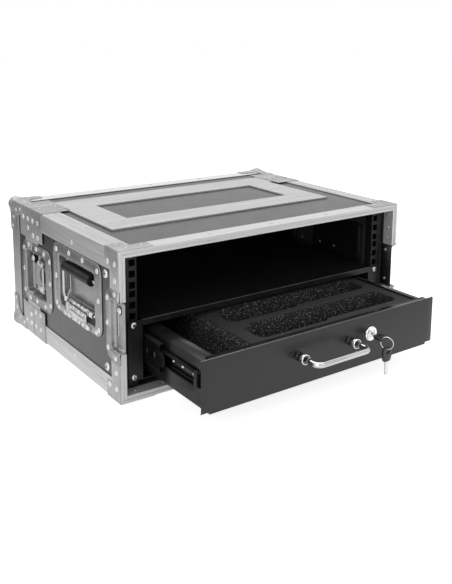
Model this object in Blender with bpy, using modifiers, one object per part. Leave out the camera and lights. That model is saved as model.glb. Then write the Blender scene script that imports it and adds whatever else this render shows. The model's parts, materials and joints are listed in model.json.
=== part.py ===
"""A 4U rack flight case with its rear lid on and a lockable 2U drawer pulled out.

All sizes below are millimetres. The case frame has X across with 0 in the middle, Y from the
front opening towards the rear lid, and Z up from the underside of the metal edges.
An empty at the end of the build stands that frame on the floor.
"""

import math

import bmesh
import bpy
from mathutils import Matrix, Vector

MM = 0.001
GAP = 0.3  # clearance between pieces that touch
OVERRUN = 5.0  # how far a cutter reaches past what it cuts

# Case body and lid
CASE_WIDTH = 526.0
CASE_HEIGHT = 214.2
BODY_DEPTH = 304.6
LID_DEPTH = 86.6
PLY = 6.7
SKIN = 1.2  # thickness of angles, flanges and pressed dishes
LAMINATE_INSET = SKIN + GAP  # the board faces lie this far inside the metal
RIM_POCKET_DEPTH = LAMINATE_INSET - 0.05  # deep enough for a rim, without a cut in the board
FOOT_HEIGHT = 10.0
FOOT_RADIUS = 19.0
FOOT_SIDE_INSET = 60.0
FOOT_FRONT_Y = 50.0
FOOT_REAR_Y = 255.0
FOOT_FLANGE = 4.0  # straight part of a foot's side
FOOT_TAPER = 3.0
FOOT_EDGE = 1.5

# Extrusions round the openings
FACE = 9.7
FACE_THICKNESS = 2.5
OUTER_FLANGE = 26.0
INNER_FLANGE = 20.0
GROOVE_INSET = 3.6
GROOVE_WIDTH = 2.4
GROOVE_DEPTH = 1.2
ANGLE_LEG = 30.0
ANGLE_ROUND = 2.5
FLANGE_INTO_CHANNEL = 0.5  # how far the cutter that shortens the inner flange starts outside it

# Raised strips on the top
STRIP_LEFT_X = -217.0
STRIP_RIGHT_X = 202.0
STRIP_FRONT_Y = 108.0
STRIP_WIDTH = 52.0
STRIP_REAR_INNER_Y = 268.0
STRIP_RISE = 1.0

# Rack geometry
RACK_UNIT = 44.45
RACK_UNITS = 4
RACK_HOLE_SPACING = 465.1
RACK_HOLE_OFFSETS = (6.35, 22.225, 38.1)
RACK_HOLE_SIZE = 9.5
RACK_FACE_Y = 20.5
RACK_OPENING = 450.85
RACK_STRIP_OUTER_INSET = 15.8
RACK_STRIP_THICKNESS = 2.0
RACK_STRIP_DEPTH = 34.0
RACK_STRIP_LIP = 9.5
RACK_SCREW_Y = 41.0
RACK_SCREW_SPREAD = 67.1  # of each wall screw from the case's mid height
SPACER_RADIUS = 8.0
STRIP_MARGIN = 1.0  # between a rack strip's ends and the extrusions

# Recessed fittings in the side walls
RECESS_DEPTH = 14.0
LATCH_HEIGHT = 103.0
LATCH_RECESS_HEIGHT = 70.0
LATCH_BODY_WIDTH = 76.0
LATCH_RECESS_WIDTH = 55.0
STRIKE_WIDTH = 40.0
STRIKE_RECESS_WIDTH = 27.0
FRONT_STRIKE_DEPTH = 8.4
DISH_CORNER = 16.0
RECESS_CORNER = 5.0
LIP_OFFSET = 15.5
LIP_THICKNESS = 1.4
LIP_HEIGHT = 1.7
LIP_MARGIN = 3.0  # the lip is this much taller than the hook at each end
HOOK_HEIGHT = 30.0
HOOK_THICKNESS = 1.6
HOOK_INSET = 10.4
HOOK_TRAVEL = 6.0
HOOK_TAIL = 18.0  # from the rotor to the hook plate's rear end
HOOK_SLOT_CLEARANCE = 0.6
HOOK_END_CLEARANCE = 0.4
ROTOR_OFFSET = 28.0
ROTOR_RADIUS = 13.0
ROTOR_INSET = 5.4
ROTOR_THICKNESS = 1.5
ROTOR_SHAFT_RADIUS = 3.0
WING_PIN_OFFSET = 8.0
WING_PIN_INSET = 3.5
WING_PIN_RADIUS = 1.0
WING_LENGTH = 22.0
WING_HEIGHT = 40.0
WING_THICKNESS = 1.8
WING_BOSS = 2.2  # half the boss that the pin runs through
WING_BOSS_HEIGHT = 14.0
WING_NOTCH = 3.6  # depth of the notch in front of the boss
WING_BACK = 1.4  # how far the wing reaches behind its pin
WING_CORNER = 4.0
WING_SHOULDER = 7.0
WING_DIP = 3.0
WING_CLEARANCE = 0.5

HANDLE_Y = 135.0
HANDLE_RISE = 21.9  # of the dish's middle over the case's
HANDLE_DISH_LENGTH = 164.0
HANDLE_DISH_HEIGHT = 108.0
HANDLE_RECESS_LENGTH = 124.0
HANDLE_RECESS_HEIGHT = 78.0
HANDLE_RECESS_DROP = 3.0
BAIL_RADIUS = 3.0
BAIL_SPAN = 112.0
BAIL_REACH = 51.5
PIVOT_DROP = 31.0  # of the bail's pivot below the dish's middle
GRIP_CLEARANCE = 0.3  # between the folded grip and the dish's floor
BAIL_BEND = 8.0
GRIP_RADIUS = 8.5
GRIP_LENGTH = 94.0
HINGE_BLOCK_LENGTH = 80.0
HINGE_BLOCK_HEIGHT = 17.0
HINGE_BLOCK_COVER = 1.4  # metal of the hinge block over the bail
HINGE_BLOCK_HEAD = 1.8
HINGE_CLEARANCE = 0.5
BAIL_END = 12.0  # from the middle of the handle to each end of the bail
BAIL_BORE_END = 8.0

# Drawer unit
DRAWER_OPEN = 143.4  # how far the drawer stands out of its housing
UNIT_PLAY = 0.4  # between the drawer unit and the ends of its two rack units
EAR_WIDTH = 482.6
EAR_THICKNESS = 2.2
EAR_SLOT = 7.0
EAR_SLOT_STRETCH = 1.5  # how much longer the slot is than its height, at each end
HOUSING_WIDTH = 440.0
HOUSING_DEPTH = 280.0
SHEET = 1.5
FRONT_WIDTH = 431.5
FRONT_HEIGHT = 72.0
FRONT_RISE = 4.9  # of the front's lower edge over the housing's underside
FRONT_RETURN = 10.0
MOUTH_CLEARANCE = 2.5  # above the drawer front
TRAY_RISE = 1.0  # of the tray's underside over the lower edge of the front
TRAY_WIDTH = 408.0
TRAY_HEIGHT = 70.0
TRAY_DEPTH = 245.0
TRAY_FOLD = 14.0
FOOT_TO_MIDDLE = 0.5  # between the tray, which is wider below the slides, and their middle members
FOOT_TO_INNER = 1.5  # between the wide part's top and the slides' inner members
FOAM_LEFT_X = -123.0
FOAM_DROP = 3.5  # of the foam's skin below the tray's upper edge
CUTOUT_LENGTH = 272.0
CUTOUT_LEFT_X = -100.0
CUTOUT_HEAD_LENGTH = 120.0
CUTOUT_HEAD_WIDTH = 55.0
CUTOUT_BODY_WIDTH = 49.0
CUTOUT_DEPTH = 30.0
CUTOUT_EDGE = 15.3  # foam left in front of the nearer cut-out
CUTOUT_PITCH = 70.0
CUTOUT_CORNER = 8.0
CUTOUT_NECK = 6.0
CUTOUT_TIP_LENGTH = 22.0  # the two legs of the slanted corner at the far left
CUTOUT_TIP_WIDTH = 14.0
CAM_ROOM_MARGIN = 2.0

SLIDE_HEIGHT = 45.0
SLIDE_RISE = 40.5  # of the slides' middle over the front's lower edge
SLIDE_METAL = 1.2
SLIDE_LENGTH = 250.0
SLIDE_SETBACK = 2.0  # slides start this far behind the closed drawer front
OUTER_SUNK = 0.5  # the outer channel's web stands this deep in the housing wall
OUTER_LIP = 9.0  # reach of each channel's lips, from the housing wall
MIDDLE_WEB = 1.5
MIDDLE_LIP = 10.0
INNER_LIP = 4.5
MIDDLE_LAG = 8.0  # the middle member starts this far behind halfway
INNER_START = 4.0
MIDDLE_LENGTH = 236.0
MIDDLE_HEIGHT = 41.0
INNER_HEIGHT = 22.0
INNER_LENGTH = 240.0

PULL_X = -8.0
PULL_RISE = 40.2  # of the bar over the front's lower edge
PULL_SPACING = 96.0
PULL_REACH = 40.0
PULL_RADIUS = 4.0
PULL_BEND = 9.0
FERRULE_RADIUS = 6.2
FERRULE_LENGTH = 13.0
COLLAR_RADIUS = 7.4
COLLAR_LENGTH = 2.4

LOCK_X = 81.0
LOCK_RISE = 42.5  # of the lock over the front's lower edge
LOCK_FLANGE_RADIUS = 11.2
LOCK_FLANGE_LENGTH = 2.8
LOCK_BODY_RADIUS = 8.0
PLUG_RADIUS = 5.2
CAM_LENGTH = 38.0
CAM_WIDTH = 11.0
CAM_CLEARANCE = 1.5
CAM_THICKNESS = 1.5
CAM_SWING_MARGIN = 3.0
PLUG_RISE = 0.4  # of the plug out of the barrel
LOCK_DEPTH = 14.0  # from the drawer face to the cam
KEY_BLADE_THICKNESS = 1.8
KEY_BLADE_WIDTH = 6.5
KEY_BLADE_LENGTH = 20.5
KEY_SHOULDER = 7.0
KEY_BLADE_ROOT = 5.0  # how far the blade runs into the bow
BOW_LENGTH = 22.0
BOW_WIDTH = 18.0
BOW_THICKNESS = 3.6
BOW_CORNER = 5.0
BOW_HOLE_RADIUS = 4.0
BOW_HOLE_EDGE = 6.1  # from the hole's centre to the bow's end
RING_RADIUS = 9.2
RING_WIRE = 0.75
RING_SAG = 0.65  # daylight between the ring's wire and the bow that it hangs on
RING_TURN = 30.0  # angle between the ring's plane and the drawer's travel
RING_TO_HOLE = 5.5  # from the ring's centre line to the centre of the key's hole

BALL_RADIUS = 12.0
BALL_INSET = 5.5
CORNER_LEG = 42.0

# Derived places
HALF_WIDTH = CASE_WIDTH / 2
BOARD_INNER = LAMINATE_INSET + PLY
CHANNEL_INNER = BOARD_INNER + GAP
LID_SEAM_Y = BODY_DEPTH + GAP
LID_REAR_Y = LID_SEAM_Y + LID_DEPTH
MID_Z = CASE_HEIGHT / 2
RACK_BOTTOM_Z = MID_Z - RACK_UNITS * RACK_UNIT / 2
RACK_SCREW_Z = (MID_Z - RACK_SCREW_SPREAD, MID_Z + RACK_SCREW_SPREAD)
HANDLE_Z = MID_Z + HANDLE_RISE
BAIL_PIVOT_Z = HANDLE_Z - PIVOT_DROP
BAIL_INSET = RECESS_DEPTH - GRIP_CLEARANCE - GRIP_RADIUS
EAR_FACE_Y = RACK_FACE_Y - GAP - EAR_THICKNESS
UNIT_BOTTOM_Z = RACK_BOTTOM_Z + UNIT_PLAY
UNIT_TOP_Z = RACK_BOTTOM_Z + 2 * RACK_UNIT - UNIT_PLAY
FRONT_Y = EAR_FACE_Y - DRAWER_OPEN
FRONT_BOTTOM_Z = UNIT_BOTTOM_Z + FRONT_RISE
FRONT_TOP_Z = FRONT_BOTTOM_Z + FRONT_HEIGHT
MOUTH_TOP_Z = FRONT_TOP_Z + MOUTH_CLEARANCE
TRAY_FRONT_Y = FRONT_Y + FRONT_RETURN + GAP
TRAY_BOTTOM_Z = FRONT_BOTTOM_Z + TRAY_RISE
TRAY_TOP_Z = TRAY_BOTTOM_Z + TRAY_HEIGHT
FOAM_TOP_Z = TRAY_TOP_Z - FOAM_DROP
SLIDE_CENTRE_Z = FRONT_BOTTOM_Z + SLIDE_RISE
PULL_Z = FRONT_BOTTOM_Z + PULL_RISE
LOCK_Z = FRONT_BOTTOM_Z + LOCK_RISE
HOUSING_INNER_X = HOUSING_WIDTH / 2 - SHEET
SLIDE_FRONT_Y = EAR_FACE_Y + FRONT_RETURN + SLIDE_SETBACK
CAM_Y = FRONT_Y + LOCK_DEPTH
KEY_FRONT_Y = FRONT_Y - LOCK_FLANGE_LENGTH - KEY_SHOULDER
BOW_END_Y = KEY_FRONT_Y - BOW_LENGTH
BOW_HOLE_Y = BOW_END_Y + BOW_HOLE_EDGE
RING_WAY_X = math.sin(math.radians(RING_TURN))
RING_WAY_Y = -math.cos(math.radians(RING_TURN))
RING_X = LOCK_X + RING_TO_HOLE * RING_WAY_X
RING_Y = BOW_HOLE_Y + RING_TO_HOLE * RING_WAY_Y
RING_TOP_Z = LOCK_Z + BOW_THICKNESS / 2 + RING_WIRE + RING_SAG
RING_CENTRE_Z = RING_TOP_Z - RING_RADIUS
RING_BOTTOM_Z = RING_CENTRE_Z - RING_RADIUS
SPARE_HOLE_Z = RING_BOTTOM_Z + RING_WIRE + RING_SAG - BOW_HOLE_RADIUS

LEFT, RIGHT = -1, 1
SIDES = (("left", LEFT), ("right", RIGHT))


# Scene and materials

for old in list(bpy.data.objects):
    bpy.data.objects.remove(old, do_unlink=True)

parts = bpy.data.collections.new("flight_case")
cutters = bpy.data.collections.new("cutters")
bpy.context.scene.collection.children.link(parts)
bpy.context.scene.collection.children.link(cutters)

case_frame = bpy.data.objects.new("case_frame", None)
parts.objects.link(case_frame)
FRONT_MOST_Y = FRONT_Y - PULL_REACH - PULL_RADIUS
REAR_MOST_Y = LID_REAR_Y - BALL_INSET + BALL_RADIUS
MIDDLE_Y = (FRONT_MOST_Y + REAR_MOST_Y) / 2
case_frame.location = (0, -MIDDLE_Y * MM, FOOT_HEIGHT * MM)


def material(name, colour, roughness, metallic):
    made = bpy.data.materials.new(name)
    made.use_nodes = True
    shader = made.node_tree.nodes["Principled BSDF"]
    shader.inputs["Base Color"].default_value = (*colour, 1)
    shader.inputs["Roughness"].default_value = roughness
    shader.inputs["Metallic"].default_value = metallic
    made.diffuse_color = (*colour, 1)
    return made


LAMINATE = material("laminate", (0.035, 0.035, 0.037), 0.55, 0.0)
ALUMINIUM = material("aluminium", (0.72, 0.72, 0.73), 0.35, 1.0)
ZINC = material("zinc_steel", (0.45, 0.45, 0.46), 0.4, 1.0)
CHROME = material("chrome", (0.8, 0.8, 0.81), 0.08, 1.0)
BLACK_STEEL = material("black_steel", (0.012, 0.012, 0.013), 0.5, 0.0)
GREY_PAINT = material("grey_paint", (0.06, 0.06, 0.062), 0.45, 0.0)
RUBBER = material("rubber", (0.02, 0.02, 0.02), 0.7, 0.0)
FOAM = material("foam", (0.05, 0.05, 0.052), 0.95, 0.0)
PLASTIC = material("black_plastic", (0.02, 0.02, 0.021), 0.4, 0.0)


# Shape helpers

def adopt(obj, finish=None):
    """Puts an object among the parts, or among the hidden cutters when it has no finish."""
    for owner in list(obj.users_collection):
        owner.objects.unlink(obj)
    (parts if finish else cutters).objects.link(obj)
    obj.parent = case_frame
    if finish:
        obj.data.materials.clear()
        obj.data.materials.append(finish)
    else:
        obj.hide_render = True
        obj.display_type = "WIRE"
    return obj


def from_bmesh(name, mesh, finish):
    data = bpy.data.meshes.new(name)
    bmesh.ops.recalc_face_normals(mesh, faces=mesh.faces)
    mesh.to_mesh(data)
    mesh.free()
    return adopt(bpy.data.objects.new(name, data), finish)


def box(name, x, y, z, finish=None):
    """A box between pairs of limits, given in either order."""
    spans = [sorted(pair) for pair in (x, y, z)]
    size = [(high - low) * MM for low, high in spans]
    centre = [(high + low) / 2 * MM for low, high in spans]
    mesh = bmesh.new()
    bmesh.ops.create_cube(mesh, size=1, matrix=Matrix.Translation(centre) @ Matrix.Diagonal((*size, 1)))
    return from_bmesh(name, mesh, finish)


def cylinder(name, axis, centre, radius, start, end, finish=None, segments=24):
    """A cylinder along one axis. The centre holds the other two coordinates, in X, Y, Z order."""
    turns = {"x": Matrix.Rotation(math.pi / 2, 4, "Y"), "y": Matrix.Rotation(-math.pi / 2, 4, "X"),
             "z": Matrix.Identity(4)}
    middle = list(centre)
    middle.insert("xyz".index(axis), (start + end) / 2)
    mesh = bmesh.new()
    bmesh.ops.create_cone(
        mesh, cap_ends=True, segments=segments, radius1=radius * MM, radius2=radius * MM,
        depth=abs(end - start) * MM, matrix=Matrix.Translation([v * MM for v in middle]) @ turns[axis])
    obj = from_bmesh(name, mesh, finish)
    return smooth(obj)


def smooth(obj, angle=35):
    obj.data.shade_smooth()
    obj.data.set_sharp_from_angle(angle=math.radians(angle))
    return obj


def rectangle(low, high):
    (u0, v0), (u1, v1) = low, high
    return [(u0, v0), (u1, v0), (u1, v1), (u0, v1)]


def rounded(low, high, radius, steps=4, square=()):
    """A rectangle with arcs at its corners, counted from the low corner, save those in square."""
    corners = rectangle(low, high)
    inward = ((1, 1), (-1, 1), (-1, -1), (1, -1))
    points = []
    for i, ((u, v), (du, dv)) in enumerate(zip(corners, inward)):
        if i in square:
            points.append((u, v))
            continue
        centre = (u + du * radius, v + dv * radius)
        for step in range(steps + 1):
            angle = math.radians(180 + 90 * i + 90 * step / steps)
            points.append((centre[0] + radius * math.cos(angle), centre[1] + radius * math.sin(angle)))
    return points


def circle(centre, radius, steps=20):
    return [(centre[0] + radius * math.cos(2 * math.pi * i / steps),
             centre[1] + radius * math.sin(2 * math.pi * i / steps)) for i in range(steps)]


def plate(name, axis, outlines, start, end, finish=None):
    """A flat outline, holes after it, thickened over the span along an axis. Outlines use the other two."""
    curve = bpy.data.curves.new(name, "CURVE")
    curve.dimensions = "2D"
    curve.fill_mode = "BOTH"
    curve.extrude = abs(end - start) / 2 * MM
    for outline in outlines:
        spline = curve.splines.new("POLY")
        spline.points.add(len(outline) - 1)
        for point, (u, v) in zip(spline.points, outline):
            point.co = (u * MM, v * MM, 0, 1)
        spline.use_cyclic_u = True
    turn = {"x": Matrix(((0, 0, 1, 0), (1, 0, 0, 0), (0, 1, 0, 0), (0, 0, 0, 1))),
            "y": Matrix(((1, 0, 0, 0), (0, 0, -1, 0), (0, 1, 0, 0), (0, 0, 0, 1))),
            "z": Matrix.Identity(4)}[axis]
    shift = Vector((0, 0, 0))
    shift["xyz".index(axis)] = (start + end) / 2 * MM
    return solid_of_curve(name, curve, Matrix.Translation(shift) @ turn, finish)


def solid_of_curve(name, curve, matrix, finish):
    """The curve's own solid as a mesh with its caps welded on."""
    guide = bpy.data.objects.new(name + "_guide", curve)
    bpy.context.scene.collection.objects.link(guide)
    graph = bpy.context.evaluated_depsgraph_get()
    data = bpy.data.meshes.new_from_object(guide.evaluated_get(graph))
    bpy.data.objects.remove(guide)
    mesh = bmesh.new()
    mesh.from_mesh(data)
    bmesh.ops.remove_doubles(mesh, verts=mesh.verts, dist=0.00001)
    bmesh.ops.transform(mesh, matrix=matrix, verts=mesh.verts)
    return from_bmesh(name, mesh, finish)


def wire(name, points, radius, finish, cyclic=False, sides=2):
    """A round rod through the points."""
    curve = bpy.data.curves.new(name, "CURVE")
    curve.dimensions = "3D"
    curve.bevel_depth = radius * MM
    curve.bevel_resolution = sides
    curve.use_fill_caps = not cyclic
    spline = curve.splines.new("POLY")
    spline.points.add(len(points) - 1)
    for point, place in zip(spline.points, points):
        point.co = (*[v * MM for v in place], 1)
    spline.use_cyclic_u = cyclic
    return smooth(solid_of_curve(name, curve, Matrix.Identity(4), finish), 50)


def bent(points, radius, steps=5):
    """The path with an arc of this radius at each inner corner."""
    path = [Vector(points[0])]
    for before, corner, after in zip(points, points[1:], points[2:]):
        corner = Vector(corner)
        to_before = (Vector(before) - corner).normalized()
        to_after = (Vector(after) - corner).normalized()
        half = to_before.angle(to_after) / 2
        centre = corner + (to_before + to_after).normalized() * radius / math.sin(half)
        first = corner + to_before * radius / math.tan(half) - centre
        turn = first.rotation_difference(corner + to_after * radius / math.tan(half) - centre)
        for step in range(steps + 1):
            part = turn.copy()
            part.angle = turn.angle * step / steps
            path.append(centre + part @ first)
    path.append(Vector(points[-1]))
    return path


def turned(name, profile, axis, centre, finish, steps=24):
    """A profile of (radius, place along the axis), from the top down, turned about the axis."""
    mesh = bmesh.new()
    rings = [mesh.verts.new((radius * MM, 0, place * MM)) for radius, place in profile]
    for first, second in zip(rings, rings[1:]):
        mesh.edges.new((first, second))
    data = bpy.data.meshes.new(name)
    mesh.to_mesh(data)
    mesh.free()
    obj = adopt(bpy.data.objects.new(name, data), finish)
    screw = obj.modifiers.new("turn", "SCREW")
    screw.steps = steps
    screw.render_steps = steps
    screw.use_merge_vertices = True
    screw.merge_threshold = 0.00001
    screw.use_smooth_shade = True
    place = list(centre)
    place.insert("xyz".index(axis), 0)
    obj.location = [v * MM for v in place]
    if axis == "y":
        obj.rotation_euler = (math.radians(-90), 0, 0)
    return obj


def boolean(obj, others, operation):
    for other in others:
        change = obj.modifiers.new(operation.lower(), "BOOLEAN")
        change.operation = operation
        change.solver = "EXACT"
        change.object = other
    return obj


def cut(obj, *others):
    return boolean(obj, others, "DIFFERENCE")


def join(obj, *others):
    return boolean(obj, others, "UNION")


def pivot_at(obj, x, y, z):
    """Moves the object's origin to a joint axis and leaves its shape where it is."""
    place = Vector((x, y, z)) * MM
    obj.data.transform(Matrix.Translation(-place))
    obj.location = place
    return obj


def wall_x(side, inset):
    """X of a plane this far inside the metal of a side wall."""
    return side * (HALF_WIDTH - inset)


def inset_rectangle(inset):
    return rectangle((-HALF_WIDTH + inset, inset), (HALF_WIDTH - inset, CASE_HEIGHT - inset))


# Pockets that the side fittings sit in

def latch_low_z(height):
    return MID_Z - height / 2


def latch_pocket(name, side, rear, front):
    """The room that a latch half needs in a side wall and its extrusion."""
    half = LATCH_RECESS_HEIGHT / 2 + SKIN + GAP
    return box(name, (wall_x(side, -OVERRUN), wall_x(side, RECESS_DEPTH + SKIN + GAP)), (front, rear),
               (MID_Z - half, MID_Z + half))


def rim_pocket(name, side, rear, front):
    """The shallow cut in the outer flange round a latch half's rim."""
    half = LATCH_HEIGHT / 2 + GAP
    return box(name, (wall_x(side, -OVERRUN), wall_x(side, RIM_POCKET_DEPTH)), (front, rear),
               (MID_Z - half, MID_Z + half))


# Extrusions and boards

def arch(outer, inner, upper, overrun=0.0):
    """The upper or lower half of a rectangular ring between two insets, as one outline."""
    def z(inset):
        return CASE_HEIGHT - inset if upper else inset

    end = MID_Z - overrun if upper else MID_Z + overrun
    wide, narrow = HALF_WIDTH - outer, HALF_WIDTH - inner
    return [(-wide, end), (-wide, z(outer)), (wide, z(outer)), (wide, end),
            (narrow, end), (narrow, z(inner)), (-narrow, z(inner)), (-narrow, end)]


def opening_frame(name, seam, direction, tongue, upper):
    """Half the profile round an opening: a face, an outer and an inner flange, and a groove or a tongue."""
    def at(distance):
        return seam + direction * distance

    frame = plate(name, "y", [arch(0, FACE, upper)], seam, at(OUTER_FLANGE), ALUMINIUM)
    channel = plate(name + "_channel", "y", [arch(SKIN, CHANNEL_INNER, upper, OVERRUN)],
                    at(FACE_THICKNESS), at(OUTER_FLANGE + OVERRUN))
    shortened = plate(name + "_shortened", "y",
                      [arch(CHANNEL_INNER - FLANGE_INTO_CHANNEL, FACE + OVERRUN, upper, OVERRUN)],
                      at(INNER_FLANGE), at(OUTER_FLANGE + OVERRUN))
    cut(frame, channel, shortened)
    if tongue:
        outline = arch(GROOVE_INSET + GAP, GROOVE_INSET + GROOVE_WIDTH - GAP, upper)
        ridge = plate(name + "_tongue", "y", [outline], at(-GROOVE_DEPTH), at(FACE_THICKNESS / 2))
        return join(frame, ridge)
    groove = plate(name + "_groove", "y", [arch(GROOVE_INSET, GROOVE_INSET + GROOVE_WIDTH, upper, OVERRUN)],
                   at(-OVERRUN), at(GROOVE_DEPTH))
    return cut(frame, groove)


front_frames = []
rear_frames = []
lid_frames = []
for level in ("upper", "lower"):
    upper = level == "upper"
    front_frames.append(opening_frame(f"front_frame_{level}", 0, 1, False, upper))
    rear_frames.append(opening_frame(f"rear_frame_{level}", BODY_DEPTH, -1, False, upper))
    lid_frames.append(opening_frame(f"lid_frame_{level}", LID_SEAM_Y, 1, True, upper))

BOARD_FRONT_Y = FACE_THICKNESS + GAP
BOARD_REAR_Y = BODY_DEPTH - FACE_THICKNESS - GAP
board_x = (-HALF_WIDTH + LAMINATE_INSET, HALF_WIDTH - LAMINATE_INSET)
box("bottom_panel", board_x, (BOARD_FRONT_Y, BOARD_REAR_Y), (LAMINATE_INSET, BOARD_INNER), LAMINATE)
box("top_panel", board_x, (BOARD_FRONT_Y, BOARD_REAR_Y),
    (CASE_HEIGHT - BOARD_INNER, CASE_HEIGHT - LAMINATE_INSET), LAMINATE)

lid_board_front = LID_SEAM_Y + FACE_THICKNESS + GAP
lid_board_rear = LID_REAR_Y - LAMINATE_INSET
lid_shell = box("lid_shell", board_x, (lid_board_front, lid_board_rear),
                (LAMINATE_INSET, CASE_HEIGHT - LAMINATE_INSET), LAMINATE)
lid_hollow = box("lid_hollow", (-HALF_WIDTH + BOARD_INNER, HALF_WIDTH - BOARD_INNER),
                 (lid_board_front - OVERRUN, lid_board_rear - PLY), (BOARD_INNER, CASE_HEIGHT - BOARD_INNER))
cut(lid_shell, lid_hollow)

lid_edge = plate("lid_edge_trim", "y", [inset_rectangle(0), inset_rectangle(ANGLE_LEG)],
                 LID_REAR_Y - ANGLE_LEG, LID_REAR_Y, ALUMINIUM)
lid_edge_inside = plate("lid_edge_inside", "y",
                        [inset_rectangle(SKIN), inset_rectangle(ANGLE_LEG + OVERRUN)],
                        LID_REAR_Y - ANGLE_LEG - OVERRUN, LID_REAR_Y - SKIN)
cut(lid_edge, lid_edge_inside)


def edge_angle(name, side, upper):
    """An L profile along one long edge of the body, rounded on the outside."""
    outer = ANGLE_ROUND
    outline = [(ANGLE_LEG, 0)]
    outline += [(outer - outer * math.sin(math.radians(a)), outer - outer * math.cos(math.radians(a)))
                for a in (0, 30, 60, 90)]
    outline += [(0, ANGLE_LEG), (SKIN, ANGLE_LEG), (SKIN, SKIN), (ANGLE_LEG, SKIN)]
    placed = [(wall_x(side, inset), CASE_HEIGHT - drop if upper else drop) for inset, drop in outline]
    return plate(name, "y", [placed], OUTER_FLANGE + GAP, BODY_DEPTH - OUTER_FLANGE - GAP, ALUMINIUM)


for side_name, side in SIDES:
    edge_angle(f"top_edge_{side_name}", side, True)
    edge_angle(f"bottom_edge_{side_name}", side, False)

plate("top_strip_frame", "z",
      [rectangle((STRIP_LEFT_X, STRIP_FRONT_Y), (STRIP_RIGHT_X, BODY_DEPTH - OUTER_FLANGE - GAP)),
       rectangle((STRIP_LEFT_X + STRIP_WIDTH, STRIP_FRONT_Y + STRIP_WIDTH),
                 (STRIP_RIGHT_X - STRIP_WIDTH, STRIP_REAR_INNER_Y))],
      CASE_HEIGHT - LAMINATE_INSET + GAP, CASE_HEIGHT + STRIP_RISE, ALUMINIUM)


# Rubber feet and ball corners

def rubber_foot(name, x, y):
    top = LAMINATE_INSET - GAP
    tread = FOOT_RADIUS - FOOT_TAPER
    profile = [(0, top), (FOOT_RADIUS, top), (FOOT_RADIUS, top - FOOT_FLANGE),
               (tread, FOOT_EDGE - FOOT_HEIGHT), (tread - FOOT_EDGE, -FOOT_HEIGHT), (0, -FOOT_HEIGHT)]
    turned(name, profile, "z", (x, y), RUBBER)


for end_name, y in (("front", FOOT_FRONT_Y), ("rear", FOOT_REAR_Y)):
    for side_name, side in SIDES:
        rubber_foot(f"foot_{end_name}_{side_name}", wall_x(side, FOOT_SIDE_INSET), y)


def ball_corner(name, side, upper):
    """A pressed corner with a leg on each of three faces and a ball on the point."""
    def z(drop):
        return CASE_HEIGHT - drop if upper else drop

    corner = box(name, (wall_x(side, -GAP - SKIN), wall_x(side, CORNER_LEG)),
                 (LID_REAR_Y + GAP + SKIN, LID_REAR_Y - CORNER_LEG), (z(-GAP - SKIN), z(CORNER_LEG)), ZINC)
    mesh = bmesh.new()
    centre = Vector((wall_x(side, BALL_INSET), LID_REAR_Y - BALL_INSET, z(BALL_INSET))) * MM
    bmesh.ops.create_uvsphere(mesh, u_segments=20, v_segments=12, radius=BALL_RADIUS * MM,
                              matrix=Matrix.Translation(centre))
    ball = from_bmesh(name + "_ball", mesh, None)
    past_leg = CORNER_LEG + OVERRUN
    inside = box(name + "_inside", (wall_x(side, -GAP), wall_x(side, past_leg)),
                 (LID_REAR_Y + GAP, LID_REAR_Y - past_leg), (z(-GAP), z(past_leg)))
    join(corner, ball)
    return cut(corner, inside)


for side_name, side in SIDES:
    ball_corner(f"ball_corner_top_{side_name}", side, True)
    ball_corner(f"ball_corner_bottom_{side_name}", side, False)


# Latches: a strike half at each seam side that faces away from the body, a body half behind

def latch_half(name, side, seam, direction, width, recess_width, depth=RECESS_DEPTH):
    """A pressed dish that is open at the seam, with a rounded rim lying on the board."""
    def at(distance):
        return seam + direction * distance

    def outline(reach, height, radius, short=0.0):
        ends = sorted((at(short), at(reach)))
        square = (0, 3) if direction > 0 else (1, 2)
        low = (ends[0], latch_low_z(height))
        return rounded(low, (ends[1], latch_low_z(height) + height), radius, square=square)

    rim = plate(name, "x", [outline(width, LATCH_HEIGHT, DISH_CORNER)],
                wall_x(side, -GAP), wall_x(side, SKIN), ZINC)
    tub_outline = outline(recess_width + SKIN, LATCH_RECESS_HEIGHT + 2 * SKIN, RECESS_CORNER)
    tub = plate(name + "_tub", "x", [tub_outline], wall_x(side, 0), wall_x(side, depth + SKIN))
    hollow_outline = outline(recess_width, LATCH_RECESS_HEIGHT, RECESS_CORNER, -OVERRUN)
    hollow = plate(name + "_hollow", "x", [hollow_outline],
                   wall_x(side, -OVERRUN), wall_x(side, depth))
    join(rim, tub)
    return cut(rim, hollow)


def strike(name, side, seam, depth):
    """The short half: its upright lip is what the hook draws on."""
    dish = latch_half(name, side, seam, 1, STRIKE_WIDTH, STRIKE_RECESS_WIDTH, depth)
    half = HOOK_HEIGHT / 2 + LIP_MARGIN
    lip = box(name + "_lip",
              (wall_x(side, depth + SKIN / 2), wall_x(side, depth - LIP_HEIGHT)),
              (seam + LIP_OFFSET, seam + LIP_OFFSET + LIP_THICKNESS), (MID_Z - half, MID_Z + half))
    return join(dish, lip)


ROTOR_Y = BODY_DEPTH - ROTOR_OFFSET
WING_PIN_Y = ROTOR_Y - WING_PIN_OFFSET


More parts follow.
